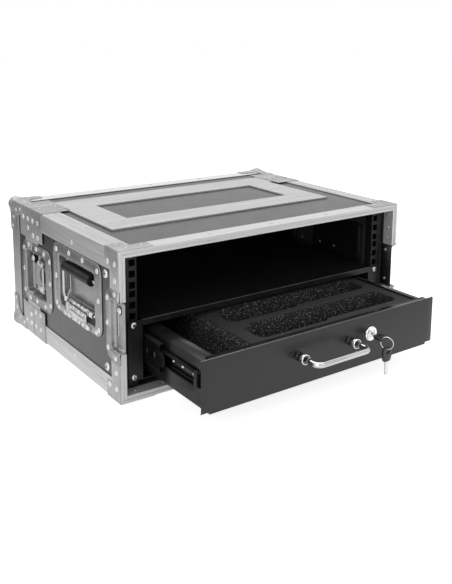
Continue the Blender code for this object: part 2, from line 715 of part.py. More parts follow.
def hook(name, side):
    """The drawbar: a flat plate with a slot for the rotor shaft and an end that turns in behind the lip."""
    reach = LID_SEAM_Y + LIP_OFFSET + LIP_THICKNESS + GAP
    low = (ROTOR_Y - HOOK_TAIL, MID_Z - HOOK_HEIGHT / 2)
    slot_half = ROTOR_SHAFT_RADIUS + HOOK_SLOT_CLEARANCE
    slot = rectangle((ROTOR_Y - slot_half - HOOK_TRAVEL, MID_Z - slot_half),
                     (ROTOR_Y + slot_half, MID_Z + slot_half))
    bar = plate(name, "x", [rectangle(low, (reach + HOOK_THICKNESS, MID_Z + HOOK_HEIGHT / 2)), slot],
                wall_x(side, HOOK_INSET), wall_x(side, HOOK_INSET + HOOK_THICKNESS), ZINC)
    depths = (HOOK_INSET + HOOK_THICKNESS / 2, RECESS_DEPTH - HOOK_END_CLEARANCE)
    turned_in = box(name + "_end", [wall_x(side, depth) for depth in depths],
                    (reach, reach + HOOK_THICKNESS), (MID_Z - HOOK_HEIGHT / 2, MID_Z + HOOK_HEIGHT / 2))
    return join(bar, turned_in)


def rotor(name, side):
    """The disc under the wing, its shaft, and the boss that the wing's pin turns in."""
    disc = cylinder(name, "x", (ROTOR_Y, MID_Z), ROTOR_RADIUS, wall_x(side, ROTOR_INSET),
                    wall_x(side, ROTOR_INSET + ROTOR_THICKNESS), ZINC)
    overlap = ROTOR_THICKNESS / 2
    shaft = cylinder(name + "_shaft", "x", (ROTOR_Y, MID_Z), ROTOR_SHAFT_RADIUS,
                     wall_x(side, ROTOR_INSET + overlap), wall_x(side, RECESS_DEPTH - GAP), segments=16)
    boss = box(name + "_boss",
               (wall_x(side, WING_PIN_INSET - WING_BOSS), wall_x(side, ROTOR_INSET + overlap)),
               (WING_PIN_Y - WING_BOSS, WING_PIN_Y + WING_BOSS),
               (MID_Z - WING_BOSS_HEIGHT / 2, MID_Z + WING_BOSS_HEIGHT / 2))
    bore = cylinder(name + "_bore", "z", (wall_x(side, WING_PIN_INSET), WING_PIN_Y), WING_PIN_RADIUS + GAP,
                    MID_Z - WING_HEIGHT, MID_Z + WING_HEIGHT, segments=12)
    join(disc, shaft, boss)
    return cut(disc, bore)


def wing(name, side):
    """The fold-out butterfly: a flat plate notched clear of the turning boss, and its pin."""
    notch = WING_BOSS_HEIGHT / 2 + WING_CLEARANCE
    low_y, notch_y, high_y = WING_PIN_Y - WING_BACK, WING_PIN_Y + WING_NOTCH, WING_PIN_Y + WING_LENGTH
    half = WING_HEIGHT / 2
    waist, shoulder = half - WING_CORNER, half - WING_SHOULDER
    near_y, far_y = low_y + WING_SHOULDER, high_y - WING_CORNER
    outline = [(notch_y, -notch), (low_y, -notch), (low_y, -shoulder), (near_y, -half), (far_y, -half),
               (high_y, -waist), (high_y - WING_DIP, 0), (high_y, waist), (far_y, half), (near_y, half),
               (low_y, shoulder), (low_y, notch), (notch_y, notch)]
    blade = plate(name, "x", [[(y, MID_Z + z) for y, z in outline]],
                  wall_x(side, WING_PIN_INSET - WING_THICKNESS / 2),
                  wall_x(side, WING_PIN_INSET + WING_THICKNESS / 2), CHROME)
    pin = cylinder(name + "_pin", "z", (wall_x(side, WING_PIN_INSET), WING_PIN_Y), WING_PIN_RADIUS,
                   MID_Z - shoulder + 1, MID_Z + shoulder - 1, segments=12)
    return join(blade, pin)


for side_name, side in SIDES:
    latch_half(f"latch_dish_{side_name}", side, BODY_DEPTH, -1, LATCH_BODY_WIDTH, LATCH_RECESS_WIDTH)
    strike(f"lid_strike_{side_name}", side, LID_SEAM_Y, RECESS_DEPTH)
    strike(f"front_strike_{side_name}", side, GAP, FRONT_STRIKE_DEPTH)
    hook(f"latch_hook_{side_name}", side)
    pivot_at(rotor(f"latch_rotor_{side_name}", side), wall_x(side, ROTOR_INSET), ROTOR_Y, MID_Z)
    pivot_at(wing(f"latch_wing_{side_name}", side), wall_x(side, WING_PIN_INSET), WING_PIN_Y, MID_Z)


# Side boards, cut for the fittings

HANDLE_RECESS_Z = HANDLE_Z - HANDLE_RECESS_DROP


def centred(length, height, radius, grow=0.0, centre_z=HANDLE_RECESS_Z):
    half_length, half_height = length / 2 + grow, height / 2 + grow
    return rounded((HANDLE_Y - half_length, centre_z - half_height),
                   (HANDLE_Y + half_length, centre_z + half_height), radius + grow)


for side_name, side in SIDES:
    panel = box(f"side_panel_{side_name}", (wall_x(side, LAMINATE_INSET), wall_x(side, BOARD_INNER)),
                (BOARD_FRONT_Y, BOARD_REAR_Y), (CHANNEL_INNER, CASE_HEIGHT - CHANNEL_INNER), LAMINATE)
    handle_pocket = plate(f"handle_pocket_{side_name}", "x",
                          [centred(HANDLE_RECESS_LENGTH, HANDLE_RECESS_HEIGHT, RECESS_CORNER, SKIN + GAP)],
                          wall_x(side, -OVERRUN), wall_x(side, BOARD_INNER + OVERRUN))
    strike_room = STRIKE_RECESS_WIDTH + SKIN + GAP
    front_room = latch_pocket(f"front_pocket_{side_name}", side, GAP + strike_room, -OVERRUN)
    rear_room = latch_pocket(f"rear_pocket_{side_name}", side, BODY_DEPTH + OVERRUN,
                             BODY_DEPTH - LATCH_RECESS_WIDTH - SKIN - GAP)
    lid_room = latch_pocket(f"lid_pocket_{side_name}", side, LID_SEAM_Y + strike_room, LID_SEAM_Y - OVERRUN)
    cut(panel, handle_pocket, front_room, rear_room)
    past_flange = OUTER_FLANGE + OVERRUN
    front_rim = rim_pocket(f"front_rim_{side_name}", side, past_flange, -OVERRUN)
    rear_rim = rim_pocket(f"rear_rim_{side_name}", side, BODY_DEPTH + OVERRUN, BODY_DEPTH - past_flange)
    lid_rim = rim_pocket(f"lid_rim_{side_name}", side, LID_SEAM_Y + past_flange, LID_SEAM_Y - OVERRUN)
    for level in range(2):
        cut(front_frames[level], front_room, front_rim)
        cut(rear_frames[level], rear_room, rear_rim)
        cut(lid_frames[level], lid_room, lid_rim)
    cut(lid_shell, lid_room)


# Side handles

def handle_dish(name, side):
    rim_outline = centred(HANDLE_DISH_LENGTH, HANDLE_DISH_HEIGHT, DISH_CORNER, centre_z=HANDLE_Z)
    rim = plate(name, "x", [rim_outline], wall_x(side, 0), wall_x(side, SKIN), ZINC)
    tub_outline = centred(HANDLE_RECESS_LENGTH, HANDLE_RECESS_HEIGHT, RECESS_CORNER, SKIN)
    tub = plate(name + "_tub", "x", [tub_outline], wall_x(side, SKIN / 2), wall_x(side, RECESS_DEPTH + SKIN))
    hollow_outline = centred(HANDLE_RECESS_LENGTH, HANDLE_RECESS_HEIGHT, RECESS_CORNER)
    hollow = plate(name + "_hollow", "x", [hollow_outline],
                   wall_x(side, -OVERRUN), wall_x(side, RECESS_DEPTH))
    depths = (BAIL_INSET - BAIL_RADIUS - HINGE_BLOCK_COVER, RECESS_DEPTH + SKIN / 2)
    block = box(name + "_hinge", [wall_x(side, depth) for depth in depths],
                (HANDLE_Y - HINGE_BLOCK_LENGTH / 2, HANDLE_Y + HINGE_BLOCK_LENGTH / 2),
                (BAIL_PIVOT_Z - HINGE_BLOCK_HEIGHT / 2, BAIL_PIVOT_Z + BAIL_RADIUS + HINGE_BLOCK_HEAD))
    bore = cylinder(name + "_bore", "y", (wall_x(side, BAIL_INSET), BAIL_PIVOT_Z),
                    BAIL_RADIUS + HINGE_CLEARANCE, HANDLE_Y - HINGE_BLOCK_LENGTH,
                    HANDLE_Y + HINGE_BLOCK_LENGTH, segments=16)
    join(rim, tub)
    cut(rim, hollow)
    join(rim, block)
    short_bores = box(name + "_solid_middle", (wall_x(side, 0), wall_x(side, RECESS_DEPTH)),
                      (HANDLE_Y - BAIL_BORE_END, HANDLE_Y + BAIL_BORE_END),
                      (BAIL_PIVOT_Z - HINGE_BLOCK_HEIGHT, BAIL_PIVOT_Z + HINGE_BLOCK_HEIGHT))
    cut(bore, short_bores)
    return cut(rim, bore)


def bail(name, side):
    """The bent rod: its two ends turn in the hinge block and its middle carries the grip."""
    x = wall_x(side, BAIL_INSET)
    near, far = HANDLE_Y - BAIL_SPAN / 2, HANDLE_Y + BAIL_SPAN / 2
    top = BAIL_PIVOT_Z + BAIL_REACH
    corners = [(x, HANDLE_Y - BAIL_END, BAIL_PIVOT_Z), (x, near, BAIL_PIVOT_Z), (x, near, top),
               (x, far, top), (x, far, BAIL_PIVOT_Z), (x, HANDLE_Y + BAIL_END, BAIL_PIVOT_Z)]
    return wire(name, bent(corners, BAIL_BEND), BAIL_RADIUS, CHROME)


def grip(name, side):
    """A rubber sleeve on the middle of the bail."""
    centre = (wall_x(side, BAIL_INSET), BAIL_PIVOT_Z + BAIL_REACH)
    start, end = HANDLE_Y - GRIP_LENGTH / 2, HANDLE_Y + GRIP_LENGTH / 2
    sleeve = cylinder(name, "y", centre, GRIP_RADIUS, start, end, RUBBER)
    bore = cylinder(name + "_bore", "y", centre, BAIL_RADIUS + GAP, start - OVERRUN, end + OVERRUN,
                    segments=16)
    return cut(sleeve, bore)


for side_name, side in SIDES:
    handle_dish(f"handle_dish_{side_name}", side)
    pivot_at(bail(f"handle_bail_{side_name}", side), wall_x(side, BAIL_INSET), HANDLE_Y, BAIL_PIVOT_Z)
    pivot_at(grip(f"handle_grip_{side_name}", side), wall_x(side, BAIL_INSET), HANDLE_Y, BAIL_PIVOT_Z)


# Rack strips

def rack_strip(name, side):
    """An angle with a row of square holes, an inner lip and two spacers to the wall."""
    low_z, high_z = CHANNEL_INNER + STRIP_MARGIN, CASE_HEIGHT - CHANNEL_INNER - STRIP_MARGIN
    outer, inner = wall_x(side, RACK_STRIP_OUTER_INSET), side * RACK_OPENING / 2
    thick = side * RACK_STRIP_THICKNESS
    front, back = RACK_FACE_Y, RACK_FACE_Y + RACK_STRIP_THICKNESS
    outline = [(outer, front), (outer, front + RACK_STRIP_DEPTH), (outer - thick, front + RACK_STRIP_DEPTH),
               (outer - thick, back), (inner + thick, back), (inner + thick, front + RACK_STRIP_LIP),
               (inner, front + RACK_STRIP_LIP), (inner, front)]
    strip = plate(name, "z", [outline], low_z, high_z, BLACK_STEEL)
    half = RACK_HOLE_SIZE / 2
    centre = side * RACK_HOLE_SPACING / 2
    for unit in range(RACK_UNITS):
        for offset in RACK_HOLE_OFFSETS:
            z = RACK_BOTTOM_Z + unit * RACK_UNIT + offset
            cut(strip, box(f"{name}_hole", (centre - half, centre + half), (front - OVERRUN, back + OVERRUN),
                           (z - half, z + half)))
    for z in RACK_SCREW_Z:
        join(strip, cylinder(f"{name}_spacer", "x", (RACK_SCREW_Y, z), SPACER_RADIUS,
                             wall_x(side, CHANNEL_INNER), outer - thick / 2, segments=16))
    return strip


for side_name, side in SIDES:
    rack_strip(f"rack_strip_{side_name}", side)


# Drawer housing and slides

def housing():
    """The folded black box that is screwed to the rack strips, with its ears and the slides' outer channels.

    A return behind the top of its mouth is what the lock's cam stands behind when it is turned up.
    """
    half = HOUSING_WIDTH / 2
    rear_y = EAR_FACE_Y + HOUSING_DEPTH
    body = box("drawer_housing", (-half, half), (EAR_FACE_Y, rear_y), (UNIT_BOTTOM_Z, UNIT_TOP_Z),
               BLACK_STEEL)
    ears = box("housing_ears", (-EAR_WIDTH / 2, EAR_WIDTH / 2), (EAR_FACE_Y, EAR_FACE_Y + EAR_THICKNESS),
               (UNIT_BOTTOM_Z, UNIT_TOP_Z))
    mouth = box("housing_mouth", (-HOUSING_INNER_X, HOUSING_INNER_X),
                (EAR_FACE_Y - OVERRUN, EAR_FACE_Y + OVERRUN), (UNIT_BOTTOM_Z + SHEET, MOUTH_TOP_Z))
    hollow = box("housing_hollow", (-HOUSING_INNER_X, HOUSING_INNER_X), (EAR_FACE_Y + SHEET, rear_y - SHEET),
                 (UNIT_BOTTOM_Z + SHEET, UNIT_TOP_Z - SHEET))
    keeper = box("housing_keeper", (-half + SHEET / 2, half - SHEET / 2),
                 (EAR_FACE_Y + SHEET / 2, CAM_Y + DRAWER_OPEN - CAM_CLEARANCE),
                 (MOUTH_TOP_Z, MOUTH_TOP_Z + SHEET))
    join(body, ears)
    cut(body, mouth, hollow)
    join(body, keeper)
    half_slot = EAR_SLOT / 2
    for z in (RACK_BOTTOM_Z + RACK_HOLE_OFFSETS[0], RACK_BOTTOM_Z + RACK_UNIT + RACK_HOLE_OFFSETS[2]):
        for name, side in SIDES:
            centre = side * RACK_HOLE_SPACING / 2
            reach = half_slot + EAR_SLOT_STRETCH
            outline = rounded((centre - reach, z - half_slot), (centre + reach, z + half_slot),
                              half_slot - 0.05)
            cut(body, plate(f"ear_slot_{name}", "y", [outline], EAR_FACE_Y - OVERRUN,
                            EAR_FACE_Y + EAR_THICKNESS + OVERRUN))
    for name, side in SIDES:
        join(body, slide_member(f"slide_outer_{name}", side, -OUTER_SUNK, OUTER_LIP, SLIDE_HEIGHT,
                                SLIDE_FRONT_Y, SLIDE_LENGTH, False, None))
    return body


def slide_member(name, side, web, lips, height, start_y, length, faces_out, finish):
    """One channel of a slide. Web and lips are distances from the housing wall."""
    def x(distance):
        return side * (HOUSING_INNER_X - distance)

    half = height / 2
    metal = SLIDE_METAL if web >= 0 else SLIDE_METAL + OUTER_SUNK
    back = web - metal if faces_out else web + metal
    low, high = SLIDE_CENTRE_Z - half, SLIDE_CENTRE_Z + half
    floor, ceiling = low + SLIDE_METAL, high - SLIDE_METAL
    outline = [(x(web), low), (x(lips), low), (x(lips), floor), (x(back), floor),
               (x(back), ceiling), (x(lips), ceiling), (x(lips), high), (x(web), high)]
    return plate(name, "y", [outline], start_y, start_y + length, finish)


housing()
TRAY_GAP = HOUSING_INNER_X - TRAY_WIDTH / 2
for side_name, side in SIDES:
    slide_member(f"slide_middle_{side_name}", side, MIDDLE_WEB, MIDDLE_LIP, MIDDLE_HEIGHT,
                 SLIDE_FRONT_Y + MIDDLE_LAG - DRAWER_OPEN / 2, MIDDLE_LENGTH, False, ZINC)
    slide_member(f"slide_inner_{side_name}", side, TRAY_GAP - GAP, INNER_LIP, INNER_HEIGHT,
                 TRAY_FRONT_Y + INNER_START, INNER_LENGTH, True, ZINC)


# Drawer tray, front and foam

def tray():
    half = TRAY_WIDTH / 2
    rear_y = TRAY_FRONT_Y + TRAY_DEPTH
    cheek_y = FRONT_Y + SHEET + GAP
    foot_half = HOUSING_INNER_X - MIDDLE_LIP - FOOT_TO_MIDDLE
    foot_top_z = SLIDE_CENTRE_Z - INNER_HEIGHT / 2 - FOOT_TO_INNER
    body = box("drawer_tray", (-half, half), (TRAY_FRONT_Y, rear_y), (TRAY_BOTTOM_Z, TRAY_TOP_Z),
               BLACK_STEEL)
    foot = box("tray_foot", (-foot_half, foot_half), (TRAY_FRONT_Y, rear_y), (TRAY_BOTTOM_Z, foot_top_z))
    join(body, foot)
    for side_name, side in SIDES:
        cheek = box(f"tray_cheek_{side_name}", (side * half, side * (half - SHEET)),
                    (cheek_y, TRAY_FRONT_Y + SHEET / 2), (TRAY_BOTTOM_Z, TRAY_TOP_Z))
        foot_cheek = box(f"foot_cheek_{side_name}", (side * foot_half, side * (half - SHEET)),
                         (cheek_y, TRAY_FRONT_Y + SHEET / 2), (TRAY_BOTTOM_Z, foot_top_z))
        join(body, cheek, foot_cheek)
    foot_hollow = box("foot_hollow", (-foot_half + SHEET, foot_half - SHEET),
                      (TRAY_FRONT_Y + SHEET, rear_y - SHEET), (TRAY_BOTTOM_Z + SHEET, foot_top_z - SHEET))
    hollow = box("tray_hollow", (-half + SHEET, half - SHEET), (TRAY_FRONT_Y + SHEET, rear_y - SHEET),
                 (TRAY_BOTTOM_Z + SHEET, TRAY_TOP_Z - SHEET))
    mouth = box("tray_mouth", (-half + TRAY_FOLD, half - TRAY_FOLD),
                (TRAY_FRONT_Y + SHEET, rear_y - TRAY_FOLD), (TRAY_TOP_Z - OVERRUN, TRAY_TOP_Z + OVERRUN))
    hole = cylinder("tray_lock_hole", "y", (LOCK_X, LOCK_Z), LOCK_BODY_RADIUS + GAP,
                    TRAY_FRONT_Y - OVERRUN, TRAY_FRONT_Y + OVERRUN)
    return cut(body, foot_hollow, hollow, mouth, hole)


def drawer_front():
    """A flat face with a return along its top and its bottom edge, drilled for the lock."""
    half = FRONT_WIDTH / 2
    body = box("drawer_front", (-half, half), (FRONT_Y, FRONT_Y + FRONT_RETURN),
               (FRONT_BOTTOM_Z, FRONT_TOP_Z), GREY_PAINT)
    return_half = TRAY_WIDTH / 2 - SHEET - GAP
    ends = [box(f"front_end_{side_name}", (side * return_half, side * (half + OVERRUN)),
                (FRONT_Y + SHEET, FRONT_Y + FRONT_RETURN + OVERRUN),
                (FRONT_BOTTOM_Z - OVERRUN, FRONT_TOP_Z + OVERRUN)) for side_name, side in SIDES]
    back = box("front_back", (-half - OVERRUN, half + OVERRUN),
               (FRONT_Y + SHEET, FRONT_Y + FRONT_RETURN + OVERRUN),
               (FRONT_BOTTOM_Z + SHEET, FRONT_TOP_Z - SHEET))
    hole = cylinder("lock_hole", "y", (LOCK_X, LOCK_Z), LOCK_BODY_RADIUS + GAP,
                    FRONT_Y - OVERRUN, FRONT_Y + OVERRUN)
    return cut(body, back, *ends, hole)


def cutout(name, far_y):
    """A pocket shaped for a long hand-held piece: a wide head at the left and a slimmer body."""
    left, right = CUTOUT_LEFT_X, CUTOUT_LEFT_X + CUTOUT_LENGTH
    neck = left + CUTOUT_HEAD_LENGTH
    near_head, near_body = far_y - CUTOUT_HEAD_WIDTH, far_y - CUTOUT_BODY_WIDTH
    outline = [(left + CUTOUT_TIP_LENGTH, far_y), (left, far_y - CUTOUT_TIP_WIDTH),
               (left, near_head + CUTOUT_CORNER), (left + CUTOUT_CORNER, near_head),
               (neck, near_head), (neck + CUTOUT_NECK, near_body),
               (right - CUTOUT_CORNER, near_body), (right, near_body + CUTOUT_CORNER),
               (right, far_y - CUTOUT_CORNER), (right - CUTOUT_CORNER, far_y)]
    return plate(name, "z", [outline], FOAM_TOP_Z - CUTOUT_DEPTH, FOAM_TOP_Z + OVERRUN)


FOAM_FRONT_Y = TRAY_FRONT_Y + SHEET + GAP


def foam_insert():
    half = TRAY_WIDTH / 2 - SHEET - GAP
    rear_y = TRAY_FRONT_Y + TRAY_DEPTH - SHEET - GAP
    foam = box("foam_insert", (FOAM_LEFT_X, half), (FOAM_FRONT_Y, rear_y),
               (TRAY_BOTTOM_Z + SHEET + GAP, FOAM_TOP_Z), FOAM)
    near_far_y = FOAM_FRONT_Y + CUTOUT_EDGE + CUTOUT_HEAD_WIDTH
    beside = LOCK_BODY_RADIUS + CAM_ROOM_MARGIN
    cam_room = box("cam_room", (LOCK_X - beside, LOCK_X + CAM_LENGTH + CAM_SWING_MARGIN),
                   (FOAM_FRONT_Y - OVERRUN, CAM_Y + CAM_THICKNESS + CAM_ROOM_MARGIN),
                   (LOCK_Z - beside, FOAM_TOP_Z + OVERRUN))
    near_cutout = cutout("near_cutout", near_far_y)
    far_cutout = cutout("far_cutout", near_far_y + CUTOUT_PITCH)
    return cut(foam, near_cutout, far_cutout, cam_room)


tray()
drawer_front()
foam_insert()


# Pull handle

def pull_handle():
    """A bent bar with a ferrule and a collar at each foot."""
    y = FRONT_Y - GAP
    near, far = PULL_X - PULL_SPACING / 2, PULL_X + PULL_SPACING / 2
    reach = FRONT_Y - PULL_REACH
    corners = [(near, y, PULL_Z), (near, reach, PULL_Z), (far, reach, PULL_Z), (far, y, PULL_Z)]
    bar = wire("pull_handle", bent(corners, PULL_BEND), PULL_RADIUS, CHROME)
    for x in (near, far):
        ferrule = cylinder("ferrule", "y", (x, PULL_Z), FERRULE_RADIUS, y, y - FERRULE_LENGTH)
        collar = cylinder("collar", "y", (x, PULL_Z), COLLAR_RADIUS, y - FERRULE_LENGTH + GAP,
                          y - FERRULE_LENGTH - COLLAR_LENGTH)
        join(bar, ferrule, collar)
    return bar


pull_handle()


# Cam lock, keys and ring

def lock_barrel():
    face = FRONT_Y - LOCK_FLANGE_LENGTH
    seat = FRONT_Y - GAP
    rear = CAM_Y - 2 * GAP
    bore = PLUG_RADIUS + GAP
    outer = cylinder("lock_barrel", "y", (LOCK_X, LOCK_Z), LOCK_FLANGE_RADIUS, face, seat, CHROME)
    body = cylinder("barrel_body", "y", (LOCK_X, LOCK_Z), LOCK_BODY_RADIUS, (face + seat) / 2, rear)
    hole = cylinder("barrel_bore", "y", (LOCK_X, LOCK_Z), bore, face - OVERRUN, rear + OVERRUN)
    join(outer, body)
    return cut(outer, hole)


def lock_plug():
    plug = cylinder("lock_plug", "y", (LOCK_X, LOCK_Z), PLUG_RADIUS,
                    FRONT_Y - LOCK_FLANGE_LENGTH - PLUG_RISE, CAM_Y - GAP, CHROME)
    keyway = box("keyway", (LOCK_X - KEY_BLADE_WIDTH / 2 - GAP, LOCK_X + KEY_BLADE_WIDTH / 2 + GAP),
                 (KEY_FRONT_Y - OVERRUN, KEY_FRONT_Y + KEY_BLADE_LENGTH + GAP),
                 (LOCK_Z - KEY_BLADE_THICKNESS / 2 - GAP, LOCK_Z + KEY_BLADE_THICKNESS / 2 + GAP))
    return cut(plug, keyway)


def lock_cam():
    """The tongue behind the front: it lies along X with the lock open and stands up when it is locked."""
    half = CAM_WIDTH / 2
    outline = rounded((LOCK_X - half, LOCK_Z - half), (LOCK_X + CAM_LENGTH, LOCK_Z + half), half - 0.1)
    return plate("lock_cam", "y", [outline], CAM_Y, CAM_Y + CAM_THICKNESS, ZINC)


def key(name, normal, hole, direction, level):
    """A flat plastic bow with a hole near its end, and a steel-thin blade.

    Its outline is in the plane across the normal axis, at a level along it. The hole is the place of
    the bow's hole in that plane, and direction is the way the blade points along the plane's second axis.
    """
    half = BOW_WIDTH / 2
    blade_half = KEY_BLADE_WIDTH / 2
    shoulder = BOW_LENGTH - BOW_HOLE_EDGE

    def placed(outline):
        return [(hole[0] + across, hole[1] + direction * along) for along, across in outline]

    bow = rounded((-BOW_HOLE_EDGE, -half), (shoulder, half), BOW_CORNER)
    blade = rectangle((shoulder - KEY_BLADE_ROOT, -blade_half), (shoulder + KEY_BLADE_LENGTH, blade_half))
    body = plate(name, normal, [placed(bow), circle(hole, BOW_HOLE_RADIUS, 16)], level - BOW_THICKNESS / 2,
                 level + BOW_THICKNESS / 2, PLASTIC)
    return join(body, plate(name + "_blade", normal, [placed(blade)], level - KEY_BLADE_THICKNESS / 2,
                            level + KEY_BLADE_THICKNESS / 2))


def key_ring():
    """It stands upright round the bar between the hole and the end of the key's bow."""
    points = [(RING_X + along * RING_WAY_X, RING_Y + along * RING_WAY_Y, RING_CENTRE_Z + rise)
              for along, rise in circle((0, 0), RING_RADIUS, 32)]
    return wire("key_ring", points, RING_WIRE, CHROME, cyclic=True, sides=1)


lock_barrel()
pivot_at(lock_plug(), LOCK_X, FRONT_Y, LOCK_Z)
pivot_at(lock_cam(), LOCK_X, CAM_Y, LOCK_Z)
key("lock_key", "z", (LOCK_X, BOW_HOLE_Y), 1, LOCK_Z)
pivot_at(key_ring(), RING_X, RING_Y, LOCK_Z)
spare_key = key("spare_key", "y", (RING_X, SPARE_HOLE_Z), -1, RING_Y)
pivot_at(spare_key, RING_X, RING_Y, RING_BOTTOM_Z)
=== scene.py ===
# %% [markdown]
# # A rack flight case with its drawer pulled out
#
# A flight case is a plywood box in an armour of metal. Black laminated boards slide into aluminium
# extrusions, pressed steel corners take the knocks, and every fitting is sunk into the wall and
# riveted. This one holds rack equipment, and its lower half is a steel drawer with a foam insert.
#
# The scene starts from a CAD model whose solids have the right sizes and joints but flat, plain
# shapes. Each section below gives one group of pieces its real surface, and where the CAD solid is
# too plain it builds a finer piece in its place.

# %% Load the frame
import json
import math

import bmesh
import bpy
from mathutils import Matrix, Vector

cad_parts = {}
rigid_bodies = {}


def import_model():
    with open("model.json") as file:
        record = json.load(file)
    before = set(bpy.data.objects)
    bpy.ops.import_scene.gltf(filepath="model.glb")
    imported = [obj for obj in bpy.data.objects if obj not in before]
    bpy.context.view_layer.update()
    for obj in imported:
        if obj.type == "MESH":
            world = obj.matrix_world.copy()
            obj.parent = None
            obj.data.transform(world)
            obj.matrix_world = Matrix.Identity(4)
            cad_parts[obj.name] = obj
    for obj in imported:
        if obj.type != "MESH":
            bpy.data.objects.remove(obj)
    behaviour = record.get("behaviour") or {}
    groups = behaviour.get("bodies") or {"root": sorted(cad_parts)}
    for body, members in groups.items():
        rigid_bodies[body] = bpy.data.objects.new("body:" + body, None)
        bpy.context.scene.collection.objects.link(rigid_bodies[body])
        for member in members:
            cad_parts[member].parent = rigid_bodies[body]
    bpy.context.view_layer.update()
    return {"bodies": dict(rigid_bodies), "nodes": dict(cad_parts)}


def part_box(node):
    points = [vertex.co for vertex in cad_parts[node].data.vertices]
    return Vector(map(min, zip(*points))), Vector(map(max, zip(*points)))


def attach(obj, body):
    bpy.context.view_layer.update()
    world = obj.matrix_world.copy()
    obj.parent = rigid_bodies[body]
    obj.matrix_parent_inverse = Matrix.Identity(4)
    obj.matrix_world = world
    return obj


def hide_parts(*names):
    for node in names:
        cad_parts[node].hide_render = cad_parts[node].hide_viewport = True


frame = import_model()

# %% [markdown]
# ## Where things are
#
# Sizes on a flight case are easiest to read in millimetres from the front edge of its shell: X from
# the middle, Y from the front opening towards the rear, Z up from the lowest metal. The two front
# extrusions give that corner, so every later place is a few millimetres from something real.

# %% Places in the case's own millimetres
MM = 0.001
front_low, front_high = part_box("front_frame_lower")[0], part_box("front_frame_upper")[1]
CORNER = Vector((0, front_low.y, front_low.z))
HALF_WIDTH = front_high.x / MM
HEIGHT = (front_high.z - front_low.z) / MM
SEAM = (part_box("rear_frame_upper")[1].y - front_low.y) / MM
LID_REAR = (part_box("lid_edge_trim")[1].y - front_low.y) / MM
MID_Z = HEIGHT / 2
SIDES = (("left", -1), ("right", 1))
LEVELS = (("upper", HEIGHT, 1), ("lower", 0, -1))  # height of the metal, and the way out
X_AXIS, Y_AXIS, Z_AXIS = (1, 0, 0), (0, 1, 0), (0, 0, 1)


def spot(x, y, z):
    """A point in the scene's metres from a place in the case's millimetres."""
    return CORNER + Vector((x, y, z)) * MM


def wall(side, inset):
    """X of a plane this many millimetres inside the metal of a side wall."""
    return side * (HALF_WIDTH - inset)


def wall_axes(side):
    """Along, up and outwards for a plate on a side wall."""
    return Y_AXIS, Z_AXIS, (side, 0, 0)


print(f"case {2 * HALF_WIDTH:.1f} x {HEIGHT:.1f} mm, seam at {SEAM:.1f}, lid to {LID_REAR:.1f}")

# %% [markdown]
# ## Shared surface effects
#
# Metal and paint are never one flat value. Three effects come back in most finishes, so each is a
# node group with its own inputs: a fine grain that dents the surface, streaks that rolling or
# brushing leaves along a length, and cloudy patches where handling has changed the gloss.
#
# The texture coordinates are the object's own. Every mesh here is built in place with its origin at
# the scene's, so one noise scale means the same size on every piece, and it moves with the piece.

# %% Helpers for nodes
FLOAT, VECTOR = "NodeSocketFloat", "NodeSocketVector"


def wire(tree, *pairs):
    """Links, each from an output to an input."""
    for source, target in pairs:
        tree.links.new(source, target)


def give(tree, value, socket):
    """An input's value: a number, or a link from another socket."""
    if isinstance(value, (int, float)):
        socket.default_value = value
    else:
        tree.links.new(value, socket)


def set_inputs(node, **values):
    """Values for a node's inputs. Underscores in a name stand for spaces."""
    for name, value in values.items():
        node.inputs[name.replace("_", " ")].default_value = value
    return node


def blend_values(tree, factor, low, high, start=0.0, end=1.0):
    """Low to high as a factor goes from start to end. Low and high are numbers or sockets."""
    ramp = set_inputs(tree.nodes.new("ShaderNodeMapRange"), From_Min=start, From_Max=end)
    wire(tree, (factor, ramp.inputs["Value"]))
    give(tree, low, ramp.inputs["To Min"])
    give(tree, high, ramp.inputs["To Max"])
    return ramp.outputs["Result"]


def calculate(tree, operation, first, second):
    """One operation on two numbers or sockets."""
    node = tree.nodes.new("ShaderNodeMath")
    node.operation = operation
    give(tree, first, node.inputs[0])
    give(tree, second, node.inputs[1])
    return node.outputs["Value"]


def object_place(tree):
    """A point's place on its own object."""
    return tree.nodes.new("ShaderNodeTexCoord").outputs["Object"]


def new_group(name, inputs, outputs):
    """An empty shader group with float inputs and their defaults, and outputs of named types."""
    group = bpy.data.node_groups.new(name, "ShaderNodeTree")
    for socket, default in inputs.items():
        made = group.interface.new_socket(socket, in_out="INPUT", socket_type=FLOAT)
        made.default_value = default
    for socket, kind in outputs.items():
        group.interface.new_socket(socket, in_out="OUTPUT", socket_type=kind)
    return group, group.nodes.new("NodeGroupInput"), group.nodes.new("NodeGroupOutput")


print("node helpers ready")


# %% Node groups for grain, streaks and patches
def noise_texture(group, given, detail, roughness):
    """Noise whose scale is an input of its group."""
    noise = set_inputs(group.nodes.new("ShaderNodeTexNoise"), Detail=detail, Roughness=roughness)
    wire(group, (given.outputs["Scale"], noise.inputs["Scale"]))
    return noise


def dented_group(name, inputs, roughness, distance):
    """A group whose noise dents the surface and also comes out as a mask."""
    group, given, result = new_group(name, inputs, {"Normal": VECTOR, "Mask": FLOAT})
    noise = noise_texture(group, given, 3.0, roughness)
    bump = set_inputs(group.nodes.new("ShaderNodeBump"), Distance=distance)
    wire(group,
         (given.outputs["Strength"], bump.inputs["Strength"]),
         (noise.outputs["Fac"], bump.inputs["Height"]),
         (bump.outputs["Normal"], result.inputs["Normal"]),
         (noise.outputs["Fac"], result.inputs["Mask"]))
    return group, given, noise


def make_grain():
    """Small round bumps, as in powder coat, moulded plastic or rubber."""
    group, _, noise = dented_group("grain", {"Scale": 900.0, "Strength": 0.2}, 0.6, 0.0004)
    wire(group, (object_place(group), noise.inputs["Vector"]))
    return group


